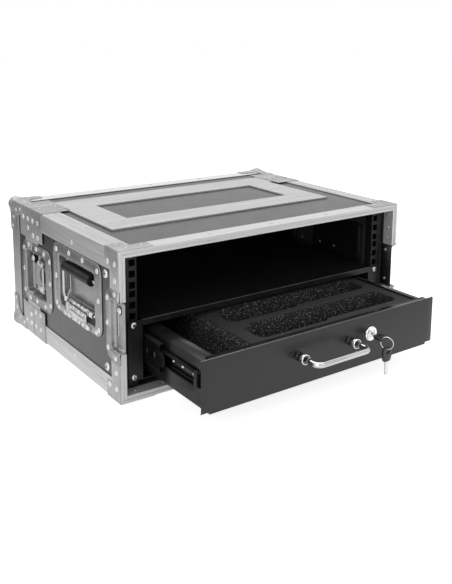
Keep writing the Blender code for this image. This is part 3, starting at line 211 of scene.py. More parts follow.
def make_streaks():
    """Long thin marks. A stretch below 1 along an axis makes the marks run along that axis."""
    inputs = {"Scale": 1400.0, "Stretch X": 1.0, "Stretch Y": 1.0, "Stretch Z": 1.0,
              "Strength": 0.1}
    group, given, noise = dented_group("streaks", inputs, 0.7, 0.0002)
    stretch = group.nodes.new("ShaderNodeCombineXYZ")
    scaled = group.nodes.new("ShaderNodeVectorMath")
    scaled.operation = "MULTIPLY"
    for axis in "XYZ":
        wire(group, (given.outputs[f"Stretch {axis}"], stretch.inputs[axis]))
    wire(group,
         (object_place(group), scaled.inputs[0]),
         (stretch.outputs["Vector"], scaled.inputs[1]),
         (scaled.outputs["Vector"], noise.inputs["Vector"]))
    return group


def make_patches():
    """Cloudy areas a few centimetres wide, between 0 and 1."""
    group, given, result = new_group("patches", {"Scale": 25.0, "Contrast": 1.0},
                                     {"Mask": FLOAT})
    noise = noise_texture(group, given, 5.0, 0.6)
    mask = blend_values(group, noise.outputs["Fac"], 0.0, given.outputs["Contrast"], 0.35, 0.65)
    wire(group, (object_place(group), noise.inputs["Vector"]), (mask, result.inputs["Mask"]))
    return group


GRAIN, STREAKS, PATCHES = make_grain(), make_streaks(), make_patches()
print("groups:", GRAIN.name, STREAKS.name, PATCHES.name)


# %% Helpers that build a material
def start_material(name, roughness, metallic=0.0, specular=0.5):
    """A material with its Principled shader, ready for links."""
    made = bpy.data.materials.new(name)
    made.use_nodes = True
    shader = set_inputs(made.node_tree.nodes["Principled BSDF"], Roughness=roughness,
                        Metallic=metallic, Specular_IOR_Level=specular)
    return made, made.node_tree, shader


def place_group(tree, group, **values):
    """One use of a shared effect with its own numbers."""
    node = tree.nodes.new("ShaderNodeGroup")
    node.node_tree = group
    return set_inputs(node, **values)


def grey(value):
    """A neutral colour. The fourth number makes it opaque."""
    return (value, value, value, 1)


def blend_greys(tree, factor, first, second):
    """The first grey to the second by a factor."""
    mix = tree.nodes.new("ShaderNodeMix")
    mix.data_type = "RGBA"
    wire(tree, (factor, mix.inputs["Factor"]))
    set_inputs(mix, A=grey(first), B=grey(second))
    return mix.outputs["Result"]


def grey_ramp(tree, factor, low, high, stops):
    """A colour ramp from a low to a high grey, with (place, grey) stops between them."""
    ramp = tree.nodes.new("ShaderNodeValToRGB")
    elements = ramp.color_ramp.elements
    for place, value in stops:
        elements.new(place).color = grey(value)
    elements[0].color, elements[-1].color = grey(low), grey(high)
    wire(tree, (factor, ramp.inputs["Fac"]))
    return ramp.outputs["Color"]


print("material helpers ready")


# %% [markdown]
# ## The finishes
#
# Painted and moulded surfaces share one recipe: a dark colour that changes a little in patches, a
# roughness that follows the same patches, and a fine grain in the normal. Metals use the streaks
# instead of the grain, because sheet and extrusion come off rollers and dies with a direction.

# %% Painted, laminated and moulded finishes
def coated(name, dark, light, roughness, spread, grain_scale, grain_strength, patch_scale=30.0,
           specular=0.5):
    """A non-metal finish between two greys, with its gloss changing by the spread."""
    made, tree, shader = start_material(name, roughness, specular=specular)
    grain = place_group(tree, GRAIN, Scale=grain_scale, Strength=grain_strength)
    mask = place_group(tree, PATCHES, Scale=patch_scale).outputs["Mask"]
    gloss = blend_values(tree, mask, roughness - spread, roughness + spread)
    wire(tree,
         (blend_greys(tree, mask, dark, light), shader.inputs["Base Color"]),
         (gloss, shader.inputs["Roughness"]),
         (grain.outputs["Normal"], shader.inputs["Normal"]))
    return made


laminate = coated("black_laminate", 0.014, 0.020, 0.26, 0.03, 700, 0.15, specular=0.6)
powder_coat = coated("black_powder_coat", 0.012, 0.017, 0.38, 0.04, 1200, 0.25, specular=0.28)
# Painted light: the boards' inside faces get a lighter grey than the laminate, standing in for
# light that reaches in through the opening.
inner_faces_painted_light = coated("inner_faces_painted_light", 0.06, 0.08, 0.5, 0.05, 500, 0.4)
# A lighter, glossier copy of the drawer paint for faces of folds that look up: a painted highlight.
fold_painted_highlight = coated("fold_paint_painted_highlight", 0.03, 0.04, 0.14, 0.03, 1500, 0.05, specular=1.0)
drawer_paint = coated("drawer_front_paint", 0.013, 0.016, 0.3, 0.03, 1500, 0.12, specular=0.45)
# Near-black zinc for the slides' lips and middle member: partly their real black finish, partly
# painted shade for the gap beside the drawer.
black_slide_and_shade = coated("black_zinc_and_painted_shade", 0.003, 0.006, 0.4, 0.05, 1500, 0.1, specular=0.15)
rubber = coated("black_rubber", 0.005, 0.007, 0.5, 0.05, 1800, 0.3, specular=0.3)
key_plastic = coated("key_bow_plastic", 0.02, 0.026, 0.32, 0.04, 2200, 0.1)
print("finishes:", laminate.name, powder_coat.name, drawer_paint.name, rubber.name)


# %% Metal finishes
def metal(name, dark, light, roughness, spread, stretch, strength, patch_scale=22.0,
          metallic=1.0):
    """A metal whose marks run along the axis with the small stretch."""
    made, tree, shader = start_material(name, roughness, metallic)
    along = {f"Stretch_{axis}": amount for axis, amount in zip("XYZ", stretch)}
    streaks = place_group(tree, STREAKS, Strength=strength, **along)
    patches = place_group(tree, PATCHES, Scale=patch_scale).outputs["Mask"]
    shade = patches
    if min(stretch) < 1:  # die lines along the length, wide enough to see
        lines = place_group(tree, STREAKS, Scale=230, **along)
        shade = blend_values(tree, lines.outputs["Mask"], 0.0, 1.0, 0.38, 0.62)
    wear = calculate(tree, "MULTIPLY", streaks.outputs["Mask"],
                     blend_values(tree, patches, 0.8, 1.2))
    gloss = blend_values(tree, wear, roughness - spread, roughness + spread)
    wire(tree,
         (blend_greys(tree, shade, dark, light), shader.inputs["Base Color"]),
         (gloss, shader.inputs["Roughness"]),
         (streaks.outputs["Normal"], shader.inputs["Normal"]))
    return made


ALONG_X, ALONG_Y, ALONG_Z, EVEN = (0.02, 1, 1), (1, 0.02, 1), (1, 1, 0.02), (1, 1, 1)
aluminium_x, aluminium_y = (
    metal(f"aluminium_along_{axis}", 0.50, 0.66, 0.42, 0.12, along, 0.25, metallic=0.6)
    for axis, along in (("x", ALONG_X), ("y", ALONG_Y)))
# A lighter, less metallic copy of the extrusion aluminium for the front frames: painted light for
# the bright reflection on their fronts.
aluminium_lit_copy = metal("aluminium_lit_copy", 0.68, 0.78, 0.42, 0.12, ALONG_X, 0.25,
                         metallic=0.35)
# A near-white copy of the aluminium, a painted highlight for the fronts of the uprights and the top
# of the lid's trim.
upright_painted_highlight = metal("aluminium_painted_highlight", 0.90, 0.97, 0.42, 0.12, ALONG_Z, 0.25, metallic=0.1)
zinc = metal("zinc_plated_steel", 0.40, 0.52, 0.36, 0.14, EVEN, 0.35, metallic=0.5)
pressed_zinc = metal("pressed_zinc", 0.29, 0.37, 0.24, 0.08, EVEN, 0.3, 40.0, 0.6)
# Zinc in small dark and bright blotches, for the latch wings and the handles' hinges.
blotched_zinc = metal("blotched_zinc", 0.16, 0.85, 0.22, 0.1, EVEN, 0.6, 170.0, 0.9)
satin_chrome = metal("satin_chrome", 0.46, 0.56, 0.22, 0.06, EVEN, 0.1)
chrome = metal("chrome_plate", 0.82, 0.88, 0.07, 0.04, EVEN, 0.02)
nickel = metal("nickel_rivet", 0.64, 0.76, 0.36, 0.1, EVEN, 0.15)
# A darker, rougher copy of the rivet metal for heads on level faces: painted shade.
rivet_shaded_copy = metal("level_rivet_painted_shade", 0.40, 0.50, 0.42, 0.1, EVEN, 0.15, metallic=0.8)
dark_chrome = metal("dark_chrome", 0.10, 0.14, 0.2, 0.06, EVEN, 0.05)
slide_steel = metal("black_zinc_slide", 0.05, 0.08, 0.36, 0.1, ALONG_Y, 0.3)
print("metals:", aluminium_x.name, zinc.name, chrome.name, nickel.name, slide_steel.name)

# %% [markdown]
# A round chrome bar in a real studio shows the edges of lamps, cards and floor as lines along its
# length. This white room has no such edges, so a copy of the chrome gets its bands from the angle
# between the surface and the line of sight, which the Layer Weight node gives.

# %% Chrome for round bars
BANDS = ((0.12, 0.75), (0.22, 0.3), (0.34, 0.7), (0.5, 0.35), (0.66, 0.85), (0.86, 0.25))
banded_chrome = chrome.copy()
banded_chrome.name = "chrome_round_bar"
tree = banded_chrome.node_tree
facing = tree.nodes.new("ShaderNodeLayerWeight").outputs["Facing"]
wire(tree, (grey_ramp(tree, facing, 0.55, 0.7, BANDS),
            tree.nodes["Principled BSDF"].inputs["Base Color"]))
print("bands:", len(BANDS))


# %% [markdown]
# ## Foam
#
# Case foam has a skin that is grey and smooth, and everywhere it is cut the open cells show. A cell
# is a black pit with thin glossy walls, and a few walls happen to face a lamp. A Voronoi pattern
# gives the pits, and a threshold on each cell's random colour picks the few that glint, which are
# painted into the colour as bright specks.

# %% Foam skin and cut foam
def make_cells():
    """Pits, and sparks in the middle of the cells whose colour passes the glint threshold."""
    group, given, result = new_group("open_cells", {"Scale": 560.0, "Glint": 0.80},
                                     {"Pit": FLOAT, "Spark": FLOAT})
    cells = group.nodes.new("ShaderNodeTexVoronoi")
    apart = group.nodes.new("ShaderNodeSeparateColor")
    chosen = calculate(group, "GREATER_THAN", apart.outputs["Red"], given.outputs["Glint"])
    small = calculate(group, "LESS_THAN", cells.outputs["Distance"], 0.42)
    wire(group,
         (object_place(group), cells.inputs["Vector"]),
         (given.outputs["Scale"], cells.inputs["Scale"]),
         (cells.outputs["Color"], apart.inputs["Color"]),
         (cells.outputs["Distance"], result.inputs["Pit"]),
         (calculate(group, "MULTIPLY", chosen, small), result.inputs["Spark"]))
    return group


CELLS = make_cells()
foam_skin = coated("foam_skin", 0.016, 0.025, 0.85, 0.05, 900, 0.8, 60.0)


def cut_foam(name, base, spark, glint):
    """Open cells with painted glints on some walls. A lower glint threshold gives more of them."""
    made, tree, shader = start_material(name, 0.6)
    cells = place_group(tree, CELLS, Glint=glint).outputs
    bump = set_inputs(tree.nodes.new("ShaderNodeBump"), Distance=0.002)
    wire(tree,
         (cells["Pit"], bump.inputs["Height"]),
         (bump.outputs["Normal"], shader.inputs["Normal"]),
         (blend_greys(tree, cells["Spark"], base, spark), shader.inputs["Base Color"]),
         (blend_values(tree, cells["Spark"], 0.7, 0.25), shader.inputs["Roughness"]))
    return made


foam_cut = cut_foam("cut_foam", 0.014, 0.55, 0.80)
# A brighter copy for the foam's left end, which stands in full light: painted light.
foam_side = cut_foam("cut_foam_side", 0.034, 0.7, 0.66)
print("foam:", foam_skin.name, foam_cut.name, foam_side.name)


# %% [markdown]
# ## Finishes on the CAD solids
#
# A solid whose shape is already right only needs its finish. The list goes from a word in a node's
# name to the finish, and the first word that fits wins. The boards get a lighter second finish on
# the faces that look into the case, painted light for what reaches in through the opening. The
# fronts of the uprights and the upper side of the lid's trim get a near-white aluminium finish
# there, a painted highlight.

# %% Give each CAD node its finish
FINISHES = (
    ("panel", laminate), ("lid_shell", laminate), ("foot", rubber), ("grip", rubber),
    ("rack_strip", powder_coat), ("housing", powder_coat), ("tray", powder_coat),
    ("drawer_front", drawer_paint), ("foam", rubber), ("edge_left", aluminium_y),
    ("edge_right", aluminium_y), ("lid_edge_trim", zinc), ("top_strip_frame", aluminium_x),
    ("front_frame_", aluminium_lit_copy), ("_frame_", aluminium_x), ("slide_", slide_steel),
    ("pull_handle", chrome), ("bail", chrome), ("lock_barrel", chrome), ("lock_plug", chrome),
    ("key_ring", chrome), ("lock_key", key_plastic), ("spare_key", key_plastic), ("", zinc),
)
UPRIGHT_WIDTH = 12
inside = spot(0, SEAM / 2, MID_Z)


def repaint(obj, finish, chosen):
    """One more finish, on the faces that pass a test."""
    obj.data.materials.append(finish)
    for face in obj.data.polygons:
        if chosen(face):
            face.material_index = len(obj.data.materials) - 1


def painted_highlight_face(name, face):
    """The front of an upright, or the upper side of the lid's trim, which get the painted
    highlight.
    """
    upright = face.normal.y < -0.9 and abs(face.center.x) > (HALF_WIDTH - UPRIGHT_WIDTH) * MM
    return upright or (name == "lid_edge_trim" and face.normal.z > 0.9)


for name, node in frame["nodes"].items():
    node.data.materials.clear()
    node.data.materials.append(next(finish for word, finish in FINISHES if word in name))
    # The inside faces get the lighter grey, painted light for the interior.
    if "panel" in name or name == "lid_shell":
        repaint(node, inner_faces_painted_light,
                lambda face: face.normal.dot(inside - node.matrix_world @ face.center) > 0)
    # Painted highlight: the uprights' front faces and the trim's upper side get the near-white
    # aluminium.
    if "front_frame_" in name or name == "lid_edge_trim":
        repaint(node, upright_painted_highlight, lambda face: painted_highlight_face(name, face))
print("finished", len(frame["nodes"]), "solids")

# %% [markdown]
# ## Making shapes
#
# Four ways of making a shape cover nearly everything on a case. Flat sheet is a filled 2D curve
# with a little bevel, so that its cut edges catch the light. Folded or pressed sheet is a row of
# matching loops with skin between them, which then gets a sheet's thickness. Anything turned is one
# profile taken round an axis, and a rod is a curve with a round section. All of them end as a mesh
# that rides on one body of the CAD model, and many of them stand in for one of its nodes.

# %% Outlines
def box_outline(low, high):
    """A rectangle, anticlockwise from its low corner."""
    return [low, (high[0], low[1]), high, (low[0], high[1])]


def round_outline(low, high, radius, steps=5):
    """A rectangle with round corners, anticlockwise from its low corner."""
    (u0, v0), (u1, v1) = low, high
    centres = box_outline((u0 + radius, v0 + radius), (u1 - radius, v1 - radius))
    points = []
    for quarter, (u, v) in enumerate(centres):
        for step in range(steps + 1):
            angle = math.radians(180 + 90 * (quarter + step / steps))
            points.append((u + radius * math.cos(angle), v + radius * math.sin(angle)))
    return points


def circle_outline(centre, radius, steps):
    """A circle as a closed outline."""
    turn = 2 * math.pi / steps
    return [(centre[0] + radius * math.cos(i * turn), centre[1] + radius * math.sin(i * turn))
            for i in range(steps)]


def fillet(points, radii, steps=5):
    """A closed outline with an arc of its own radius at each corner."""
    result = []
    for i, size in enumerate(radii):
        corner = Vector(points[i])
        back, ahead = Vector(points[i - 1]) - corner, Vector(points[(i + 1) % len(points)]) - corner
        half = back.angle(ahead) / 2
        reach = min(size / math.tan(half), 0.49 * back.length, 0.49 * ahead.length)
        back.normalize()
        ahead.normalize()
        centre = corner + (back + ahead).normalized() * reach / math.cos(half)
        first, last = corner + back * reach - centre, corner + ahead * reach - centre
        sweep = first.angle_signed(last)
        for step in range(steps + 1):
            result.append(tuple(centre + Matrix.Rotation(-sweep * step / steps, 2) @ first))
    return result


def bent_path(corners, radius, steps=7):
    """A path through corners in space, with an arc at each inner one."""
    path = [Vector(corners[0])]
    for before, corner, after in zip(corners, corners[1:], corners[2:]):
        back, ahead = (before - corner).normalized(), (after - corner).normalized()
        half = back.angle(ahead) / 2
        centre = corner + (back + ahead).normalized() * radius / math.sin(half)
        first = corner + back * radius / math.tan(half) - centre
        turn = first.rotation_difference(corner + ahead * radius / math.tan(half) - centre)
        for step in range(steps + 1):
            part = turn.copy()
            part.angle = turn.angle * step / steps
            path.append(centre + part @ first)
    path.append(Vector(corners[-1]))
    return path


print("outline helpers ready")


# %% Pieces from curves and turned profiles
def add_piece(name, mesh, finish, body, smooth=40, node=None):
    """The bmesh as a shown piece, in a node's place if one is named.

    Edges sharper than the smooth angle stay crisp."""
    data = bpy.data.meshes.new(name)
    bmesh.ops.recalc_face_normals(mesh, faces=mesh.faces)
    mesh.to_mesh(data)
    mesh.free()
    data.shade_smooth()
    data.set_sharp_from_angle(angle=math.radians(smooth))
    obj = bpy.data.objects.new(name, data)
    bpy.context.scene.collection.objects.link(obj)
    data.materials.append(finish)
    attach(obj, body)
    if node:
        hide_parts(node)
    return obj


def add_spline(curve, points, closed):
    """A run of straight pieces through points."""
    spline = curve.splines.new("POLY")
    spline.points.add(len(points) - 1)
    for point, place in zip(spline.points, points):
        point.co = (*place, 1)
    spline.use_cyclic_u = closed


def mesh_of(curve):
    """A curve's own mesh. The object that carries the curve is only a guide and goes again."""
    guide = bpy.data.objects.new(curve.name, curve)
    bpy.context.scene.collection.objects.link(guide)
    graph = bpy.context.evaluated_depsgraph_get()
    data = bpy.data.meshes.new_from_object(guide.evaluated_get(graph))
    bpy.data.objects.remove(guide)
    mesh = bmesh.new()
    mesh.from_mesh(data)
    bmesh.ops.remove_doubles(mesh, verts=mesh.verts, dist=0.00001)
    return mesh


def flat(name, outlines, start, thickness, axes, finish, body, edge=0.2, node=None):
    """Sheet cut to an outline, with holes after it. The axes give U, V and the way it thickens."""
    curve = bpy.data.curves.new(name, "CURVE")
    curve.dimensions, curve.fill_mode = "2D", "BOTH"
    curve.bevel_depth, curve.bevel_resolution = edge * MM, 1
    curve.extrude = (thickness / 2 - edge) * MM
    curve.offset = -edge * MM
    for outline in outlines:
        add_spline(curve, [(u * MM, v * MM, 0) for u, v in outline], True)
    mesh = mesh_of(curve)
    u, v, w = (Vector(axis) for axis in axes)
    turn = Matrix((u, v, w)).transposed().to_4x4()
    place = Matrix.Translation(CORNER + w * (start + thickness / 2) * MM)
    bmesh.ops.transform(mesh, matrix=place @ turn, verts=mesh.verts)
    return add_piece(name, mesh, finish, body, 30, node)


def tube(name, points, radius, finish, body, closed=False, sides=4, node=None):
    """A round rod through points in space, with a smooth run where they are close together."""
    curve = bpy.data.curves.new(name, "CURVE")
    curve.dimensions, curve.bevel_depth, curve.bevel_resolution = "3D", radius * MM, sides
    curve.use_fill_caps = not closed
    add_spline(curve, points, closed)
    return add_piece(name, mesh_of(curve), finish, body, 60, node)


def skin(mesh, loops, closed=True, cap=False):
    """Faces between neighbouring loops of equal length, and across the last one if capped."""
    rows = [[mesh.verts.new(point) for point in loop] for loop in loops]
    count = len(rows[0])
    for first, second in zip(rows, rows[1:]):
        for i in range(count if closed else count - 1):
            j = (i + 1) % count
            mesh.faces.new((first[i], first[j], second[j], second[i]))
    if cap:
        mesh.faces.new(rows[-1])


def turned(mesh, profile, place, outward, steps):
    """A profile of (radius, height) in millimetres, taken round the outward axis from a place."""
    turn = Vector(outward).to_track_quat("Z", "Y").to_matrix()
    loops = []
    for radius, height in profile:
        loops.append([place + turn @ Vector((u * MM, v * MM, height * MM))
                      for u, v in circle_outline((0, 0), max(radius, 0.01), steps)])
    skin(mesh, loops, cap=True)


def turned_piece(name, profile, place, outward, finish, body, steps=24, smooth=40, node=None):
    """One turned profile as a piece of its own."""
    mesh = bmesh.new()
    turned(mesh, profile, place, outward, steps)
    return add_piece(name, mesh, finish, body, smooth, node)


print("piece helpers ready")


# %% Pieces from folded or pressed sheet
def sheet(name, loops, outward, thickness, finish, body, node, smooth=45, closed=False,
          back=None):
    """A skin over loops that faces outward, thickened behind. Back is a finish for that side.

    Closed loops go all the way round, and only a sheet with a finish at its back has a floor."""
    mesh = bmesh.new()
    skin(mesh, loops, closed, cap=bool(back))
    piece = add_piece(name, mesh, finish, body, smooth)
    if sum(face.area * face.normal.dot(Vector(outward)) for face in piece.data.polygons) < 0:
        piece.data.flip_normals()
    solid = piece.modifiers.new("sheet", "SOLIDIFY")
    solid.thickness, solid.offset = thickness * MM, -1
    if back:
        piece.data.materials.append(back)
        solid.material_offset = 1
    graph = bpy.context.evaluated_depsgraph_get()
    data = bpy.data.meshes.new_from_object(piece.evaluated_get(graph))
    piece.modifiers.clear()
    piece.data = data
    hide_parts(node)
    return piece


print("sheet helper ready")

# %% [markdown]
# ## Rivets
#
# Nothing on a flight case is welded: every plate is held with rivets, and their domed heads with a
# dimple where the stem broke off are most of its sparkle. The sections below only note where each
# rivet goes, and the meshes are made from the list at the end.

# %% Where rivets go
WALL_HEAD, PLATE_HEAD, LENGTH_HEAD = 4.1, 3.6, 3.2  # radii of the heads
CORNER_HEAD, INNER_HEAD, SMALL_HEAD = 3.0, 2.8, 2.6
rivets = []


def rivet(body, place, outward, radius=PLATE_HEAD):
    """Notes one rivet for later."""
    rivets.append((body, place, Vector(outward), radius))


def side_rivets(body, side, inset, places, radius=WALL_HEAD, way=1):
    """Rivets on a side wall, from (Y, Z) pairs. A way of -1 turns their heads to the inside."""
    for y, z in places:
        rivet(body, spot(wall(side, inset), y, z), (way * side, 0, 0), radius)


print(f"rivet heads from {2 * SMALL_HEAD:.1f} to {2 * WALL_HEAD:.1f} mm across")


# %% [markdown]
# ## Braces at the extrusions' corners
#
# Where three extrusions meet, a flat steel brace is riveted over the joint on each face. On the
# real case they are stamped from 1 mm sheet in an L. They are too many to be nodes of the CAD
# model, so all of them are made here, as flat outlines that follow the edge they sit on.

# %% Braces on the side walls
BRACE = 1.0  # sheet thickness
LONG_LEG, LEG_WIDTH, SHORT_LEG = 38.5, 23.0, 54.0  # the front brace's legs
REAR_BRACE, LID_BRACE = (46.0, 50.0), (45.0, 50.0)  # length along the edge, and reach
EDGE_GAP, SEAM_GAP = 0.4, 0.7  # from the case's edge, and behind the seam


def brace_outline(y, z, reach_y, reach_z, width_y, width_z):
    """An L whose corner is at (y, z). Negative reaches run the other way."""
    return [(y, z), (y + reach_y, z), (y + reach_y, z + width_z), (y + width_y, z + width_z),
            (y + width_y, z + reach_z), (y, z + reach_z)]


for side_name, side in SIDES:
    for level_name, edge_z, way in LEVELS:
        front = brace_outline(EDGE_GAP, edge_z, LONG_LEG, -way * SHORT_LEG, LEG_WIDTH,
                              -way * LEG_WIDTH)
        rear = box_outline((SEAM - REAR_BRACE[0], edge_z),
                           (SEAM - EDGE_GAP, edge_z - way * REAR_BRACE[1]))
        lid = box_outline((SEAM + SEAM_GAP, edge_z),
                          (SEAM + LID_BRACE[0], edge_z - way * LID_BRACE[1]))
        for name, body, outline, heads in (
                ("front", "case", front, ((30, 19), (10, 19), (10, 42))),
                ("rear", "case", rear, ((SEAM - 29, 18), (SEAM - 9, 18), (SEAM - 29, 42),
                                        (SEAM - 9, 42))),
                ("lid", "lid", lid, ((SEAM + 11, 18), (SEAM + 31, 18), (SEAM + 11, 33)))):
            flat(f"{name}_brace_{level_name}_{side_name}", [outline], HALF_WIDTH, BRACE,
                 wall_axes(side), zinc, body)
            side_rivets(body, side, -BRACE, [(y, edge_z - way * drop) for y, drop in heads])
print("side braces made")

# %% Braces on the top and the base
for level_name, face_z, way in LEVELS:
    for side_name, side in SIDES:
        edge_x, leg_x, short_x = (wall(side, 0) - side * reach
                                  for reach in (0, LEG_WIDTH, SHORT_LEG))
        front = [(edge_x, EDGE_GAP), (short_x, EDGE_GAP), (short_x, LEG_WIDTH),
                 (leg_x, LEG_WIDTH), (leg_x, LONG_LEG), (edge_x, LONG_LEG)]
        rear = box_outline((edge_x, SEAM - REAR_BRACE[0]),
                           (edge_x - side * REAR_BRACE[1], SEAM - EDGE_GAP))
        lid = box_outline((edge_x, SEAM + SEAM_GAP),
                          (edge_x - side * LID_BRACE[1], SEAM + LID_BRACE[0]))
        for name, body, outline in (("front", "case", front), ("rear", "case", rear),
                                    ("lid", "lid", lid)):
            flat(f"{name}_cap_{level_name}_{side_name}", [outline], face_z * way, BRACE,
                 (X_AXIS, Y_AXIS, (0, 0, way)), zinc, body)
        for body, inset, y in (
                ("case", 12, 30), ("case", 17, 11), ("case", 40, 11), ("case", 12, SEAM - 29),
                ("case", 12, SEAM - 9), ("case", 38, SEAM - 29), ("case", 38, SEAM - 9),
                ("lid", 12, SEAM + 11), ("lid", 12, SEAM + 31), ("lid", 38, SEAM + 11)):
            rivet(body, spot(wall(side, inset), y, face_z + way * BRACE), (0, 0, way))
print("level braces made")

# %% [markdown]
# ## Rivets along the plain lengths
#
# Between its corners each extrusion and angle is riveted to the board every 150 mm or so. The
# extrusion's inner flange, which shows inside the front opening, has its own row.

# %% Rivets on angles, extrusions and strips
ANGLE_RIVET = 20.0  # in from the edge
INNER_FLANGE = 9.7  # from a side's metal to the face of the extrusion's inner flange
for side_name, side in SIDES:
    side_rivets("case", side, 0, [(147, HEIGHT - ANGLE_RIVET), (147, ANGLE_RIVET)], LENGTH_HEAD)
    for _, face_z, way in LEVELS:
        rivet("case", spot(wall(side, ANGLE_RIVET), 149, face_z), (0, 0, way), LENGTH_HEAD)
for _, face_z, way in LEVELS:
    for x in (-110, 0, 110):
        for body, y in (("case", 11), ("case", SEAM - 11), ("lid", SEAM + 13),
                        ("lid", LID_REAR - 14)):
            rivet(body, spot(x, y, face_z), (0, 0, way), LENGTH_HEAD)
strip_low, strip_high = ((corner - CORNER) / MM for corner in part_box("top_strip_frame"))
for x in (strip_low.x + 14, strip_low.x + 38, strip_high.x - 38, strip_high.x - 14):
    for y in (strip_low.y + 12, strip_low.y + 38, strip_high.y - 8):
        rivet("case", spot(x, y, strip_high.z), Z_AXIS, SMALL_HEAD)
for side_name, side in SIDES:
    side_rivets("case", side, INNER_FLANGE, [(11, z) for z in (196, 173, 155, 60, 41, 18)],
                INNER_HEAD, -1)
    side_rivets("case", side, INNER_FLANGE + 0.1, [(14, 133.4), (14, 82.5)], INNER_HEAD, -1)
    outline = [spot(wall(side, INNER_FLANGE + 0.1), y, z)
               for y, z in ((2, 143.5), (25.5, 143.5), (25.5, 71), (2, 71))]
    tube(f"strike_back_edge_{side_name}", outline, 0.5, zinc, "case", sides=2)
for x in (-235, -190, -120, 0, 120, 190, 235):
    rivet("case", spot(x, 11, INNER_FLANGE), Z_AXIS, INNER_HEAD)
print(len(rivets), "rivets so far")

# %% [markdown]
# ## Pressed dishes
#
# Latches and handles sit in dishes pressed from one sheet of steel, so that nothing sticks out
# when cases slide along a truck. A press leaves the same section everywhere: a flat rim, a bead
# rolled up round the recess, a steep wall and a soft bend into the floor. That section is one list
# of growth and depth, used by every dish.
#
# A latch needs two dishes that meet at the seam. Their rings are open on that side, and the skin is
# then a strip that runs round the three others.

# %% Helpers for pressed dishes
RECESS_DEPTH, FRONT_DEPTH = 14.0, 8.4
DISH_SHEET = 1.2
RIM_SECTION = ((0, 1.3), (0, 0.4), (-0.4, -0.1))  # growth over the outline, and depth


def dish_section(depth):
    """Rim to floor: the rolled bead, the wall, and the bend into the floor."""
    return ((5.5, -0.1), (4.6, -0.8), (2.8, -1.3), (1.2, -0.9), (0.2, 0.6), (0, 2.2),
            (0, depth - 3.5), (-0.9, depth - 1.2), (-2.6, depth - 0.1))


def pressed(name, body, side, rings, node, closed=True):
    """A dish from rings of ((Y, Z) outline, depth), from its rim to its floor."""
    loops = [[spot(wall(side, depth), y, z) for y, z in outline] for outline, depth in rings]
    sheet(name, loops, (side, 0, 0), DISH_SHEET, pressed_zinc, body, node, 50, closed,
          powder_coat)


def open_ring(seam, way, reach, height, radius, steps=6):
    """A ring that is open at the seam: along its top, round two corners and back."""
    far = seam + way * reach
    points = [(seam, MID_Z + height / 2)]
    for centre_z, start in ((MID_Z + height / 2 - radius, 90),
                            (MID_Z - height / 2 + radius, 180)):
        for step in range(steps + 1):
            angle = math.radians(start + 90 * step / steps)
            points.append((far - way * radius * (1 + math.cos(angle)),
                           centre_z + radius * math.sin(angle)))
    points.append((seam, MID_Z - height / 2))
    return points


def folded(name, body, side, profile, low_z, high_z, finish, node, thickness, wave=0.0,
           steps=20):
    """A strip along Z folded through (Y, depth, share). The wave shifts each by its share."""
    loops = []
    for step in range(steps + 1):
        along = step / steps
        shift = wave * math.sin(2 * math.pi * along)
        z = low_z + (high_z - low_z) * along
        loops.append([spot(wall(side, depth), y + shift * share, z)
                      for y, depth, share in profile])
    sheet(name, loops, (side, 0, 0), thickness, finish, body, node, 50)


print("dish helpers ready")

# %% [markdown]
# ## Latches
#
# A butterfly latch has a round boss that turns in the body's dish. Its drawbar is a plate with a
# wavy hooked end, which pulls on a lip in the other dish. The wing folds flat when it's shut.

# %% Latch dishes and strikes
LATCH_RIM, LATCH_RECESS = (76, 103, 16), (55, 70, 5)  # reach from the seam, height, corner radius
STRIKE_RIM, STRIKE_RECESS = (40, 103, 16), (27, 70, 5)
LIP_REACH, LIP_HALF = 15.5, 17
LIP_SECTION = ((9, 0.1), (4.2, 0.4), (2, 1), (1.2, 1.6), (0.3, 1.7), (0, 1.2), (0, 0.1))
STUD_INSET, STUD_RADIUS, STUD_HEAD = 7.5, 6.4, 5.2


def latch_rings(seam, way, rim, recess, depth):
    """The rings of a dish at the seam, which are open on that side."""
    reach, height, radius = rim
    rings = [(open_ring(seam, way, reach + grow, height + 2 * grow, radius), low)
             for grow, low in RIM_SECTION]
    reach, height, radius = recess
    for grow, low in dish_section(depth):
        corner = max(radius + grow, 2)
        rings.append((open_ring(seam, way, reach + grow, height + 2 * grow, corner), low))
    return rings


for side_name, side in SIDES:
    pressed(f"latch_tray_{side_name}", "case", side,
            latch_rings(SEAM, -1, LATCH_RIM, LATCH_RECESS, RECESS_DEPTH),
            f"latch_dish_{side_name}", False)
    side_rivets("case", side, -0.1, [(233.5, 143), (233.5, 107.1), (233.5, 71), (255, 150.5),
                                     (287, 151), (255, 63.5), (289, 63)])
    for end_name, body, seam, depth in (("lid", "lid", SEAM + 0.3, RECESS_DEPTH),
                                        ("front", "case", 0.3, FRONT_DEPTH)):
        strike = f"{end_name}_strike_{side_name}"
        pressed(f"{end_name}_keeper_{side_name}", body, side,
                latch_rings(seam, 1, STRIKE_RIM, STRIKE_RECESS, depth), strike, False)
        section = [(seam + LIP_REACH + along, depth - rise, 0) for along, rise in LIP_SECTION]
        folded(f"{end_name}_lip_{side_name}", body, side, section, MID_Z - LIP_HALF,
               MID_Z + LIP_HALF, nickel, strike, 1.0)
        side_rivets(body, side, -0.1, [(seam + 34.5, 143), (seam + 35, 107.1), (seam + 34.5, 71),
                                       (seam + 13, 152.5), (seam + 13, 61.7)])
        stud = spot(wall(side, STUD_INSET), seam + 14, 128)
        turned_piece(f"{end_name}_stud_ring_{side_name}",
                     [(STUD_RADIUS, STUD_INSET - depth), (STUD_RADIUS, 0.2), (0, 0.2)], stud,
                     (side, 0, 0), powder_coat, body)
        rivet(body, stud, (side, 0, 0), STUD_HEAD)
print("latch dishes made")

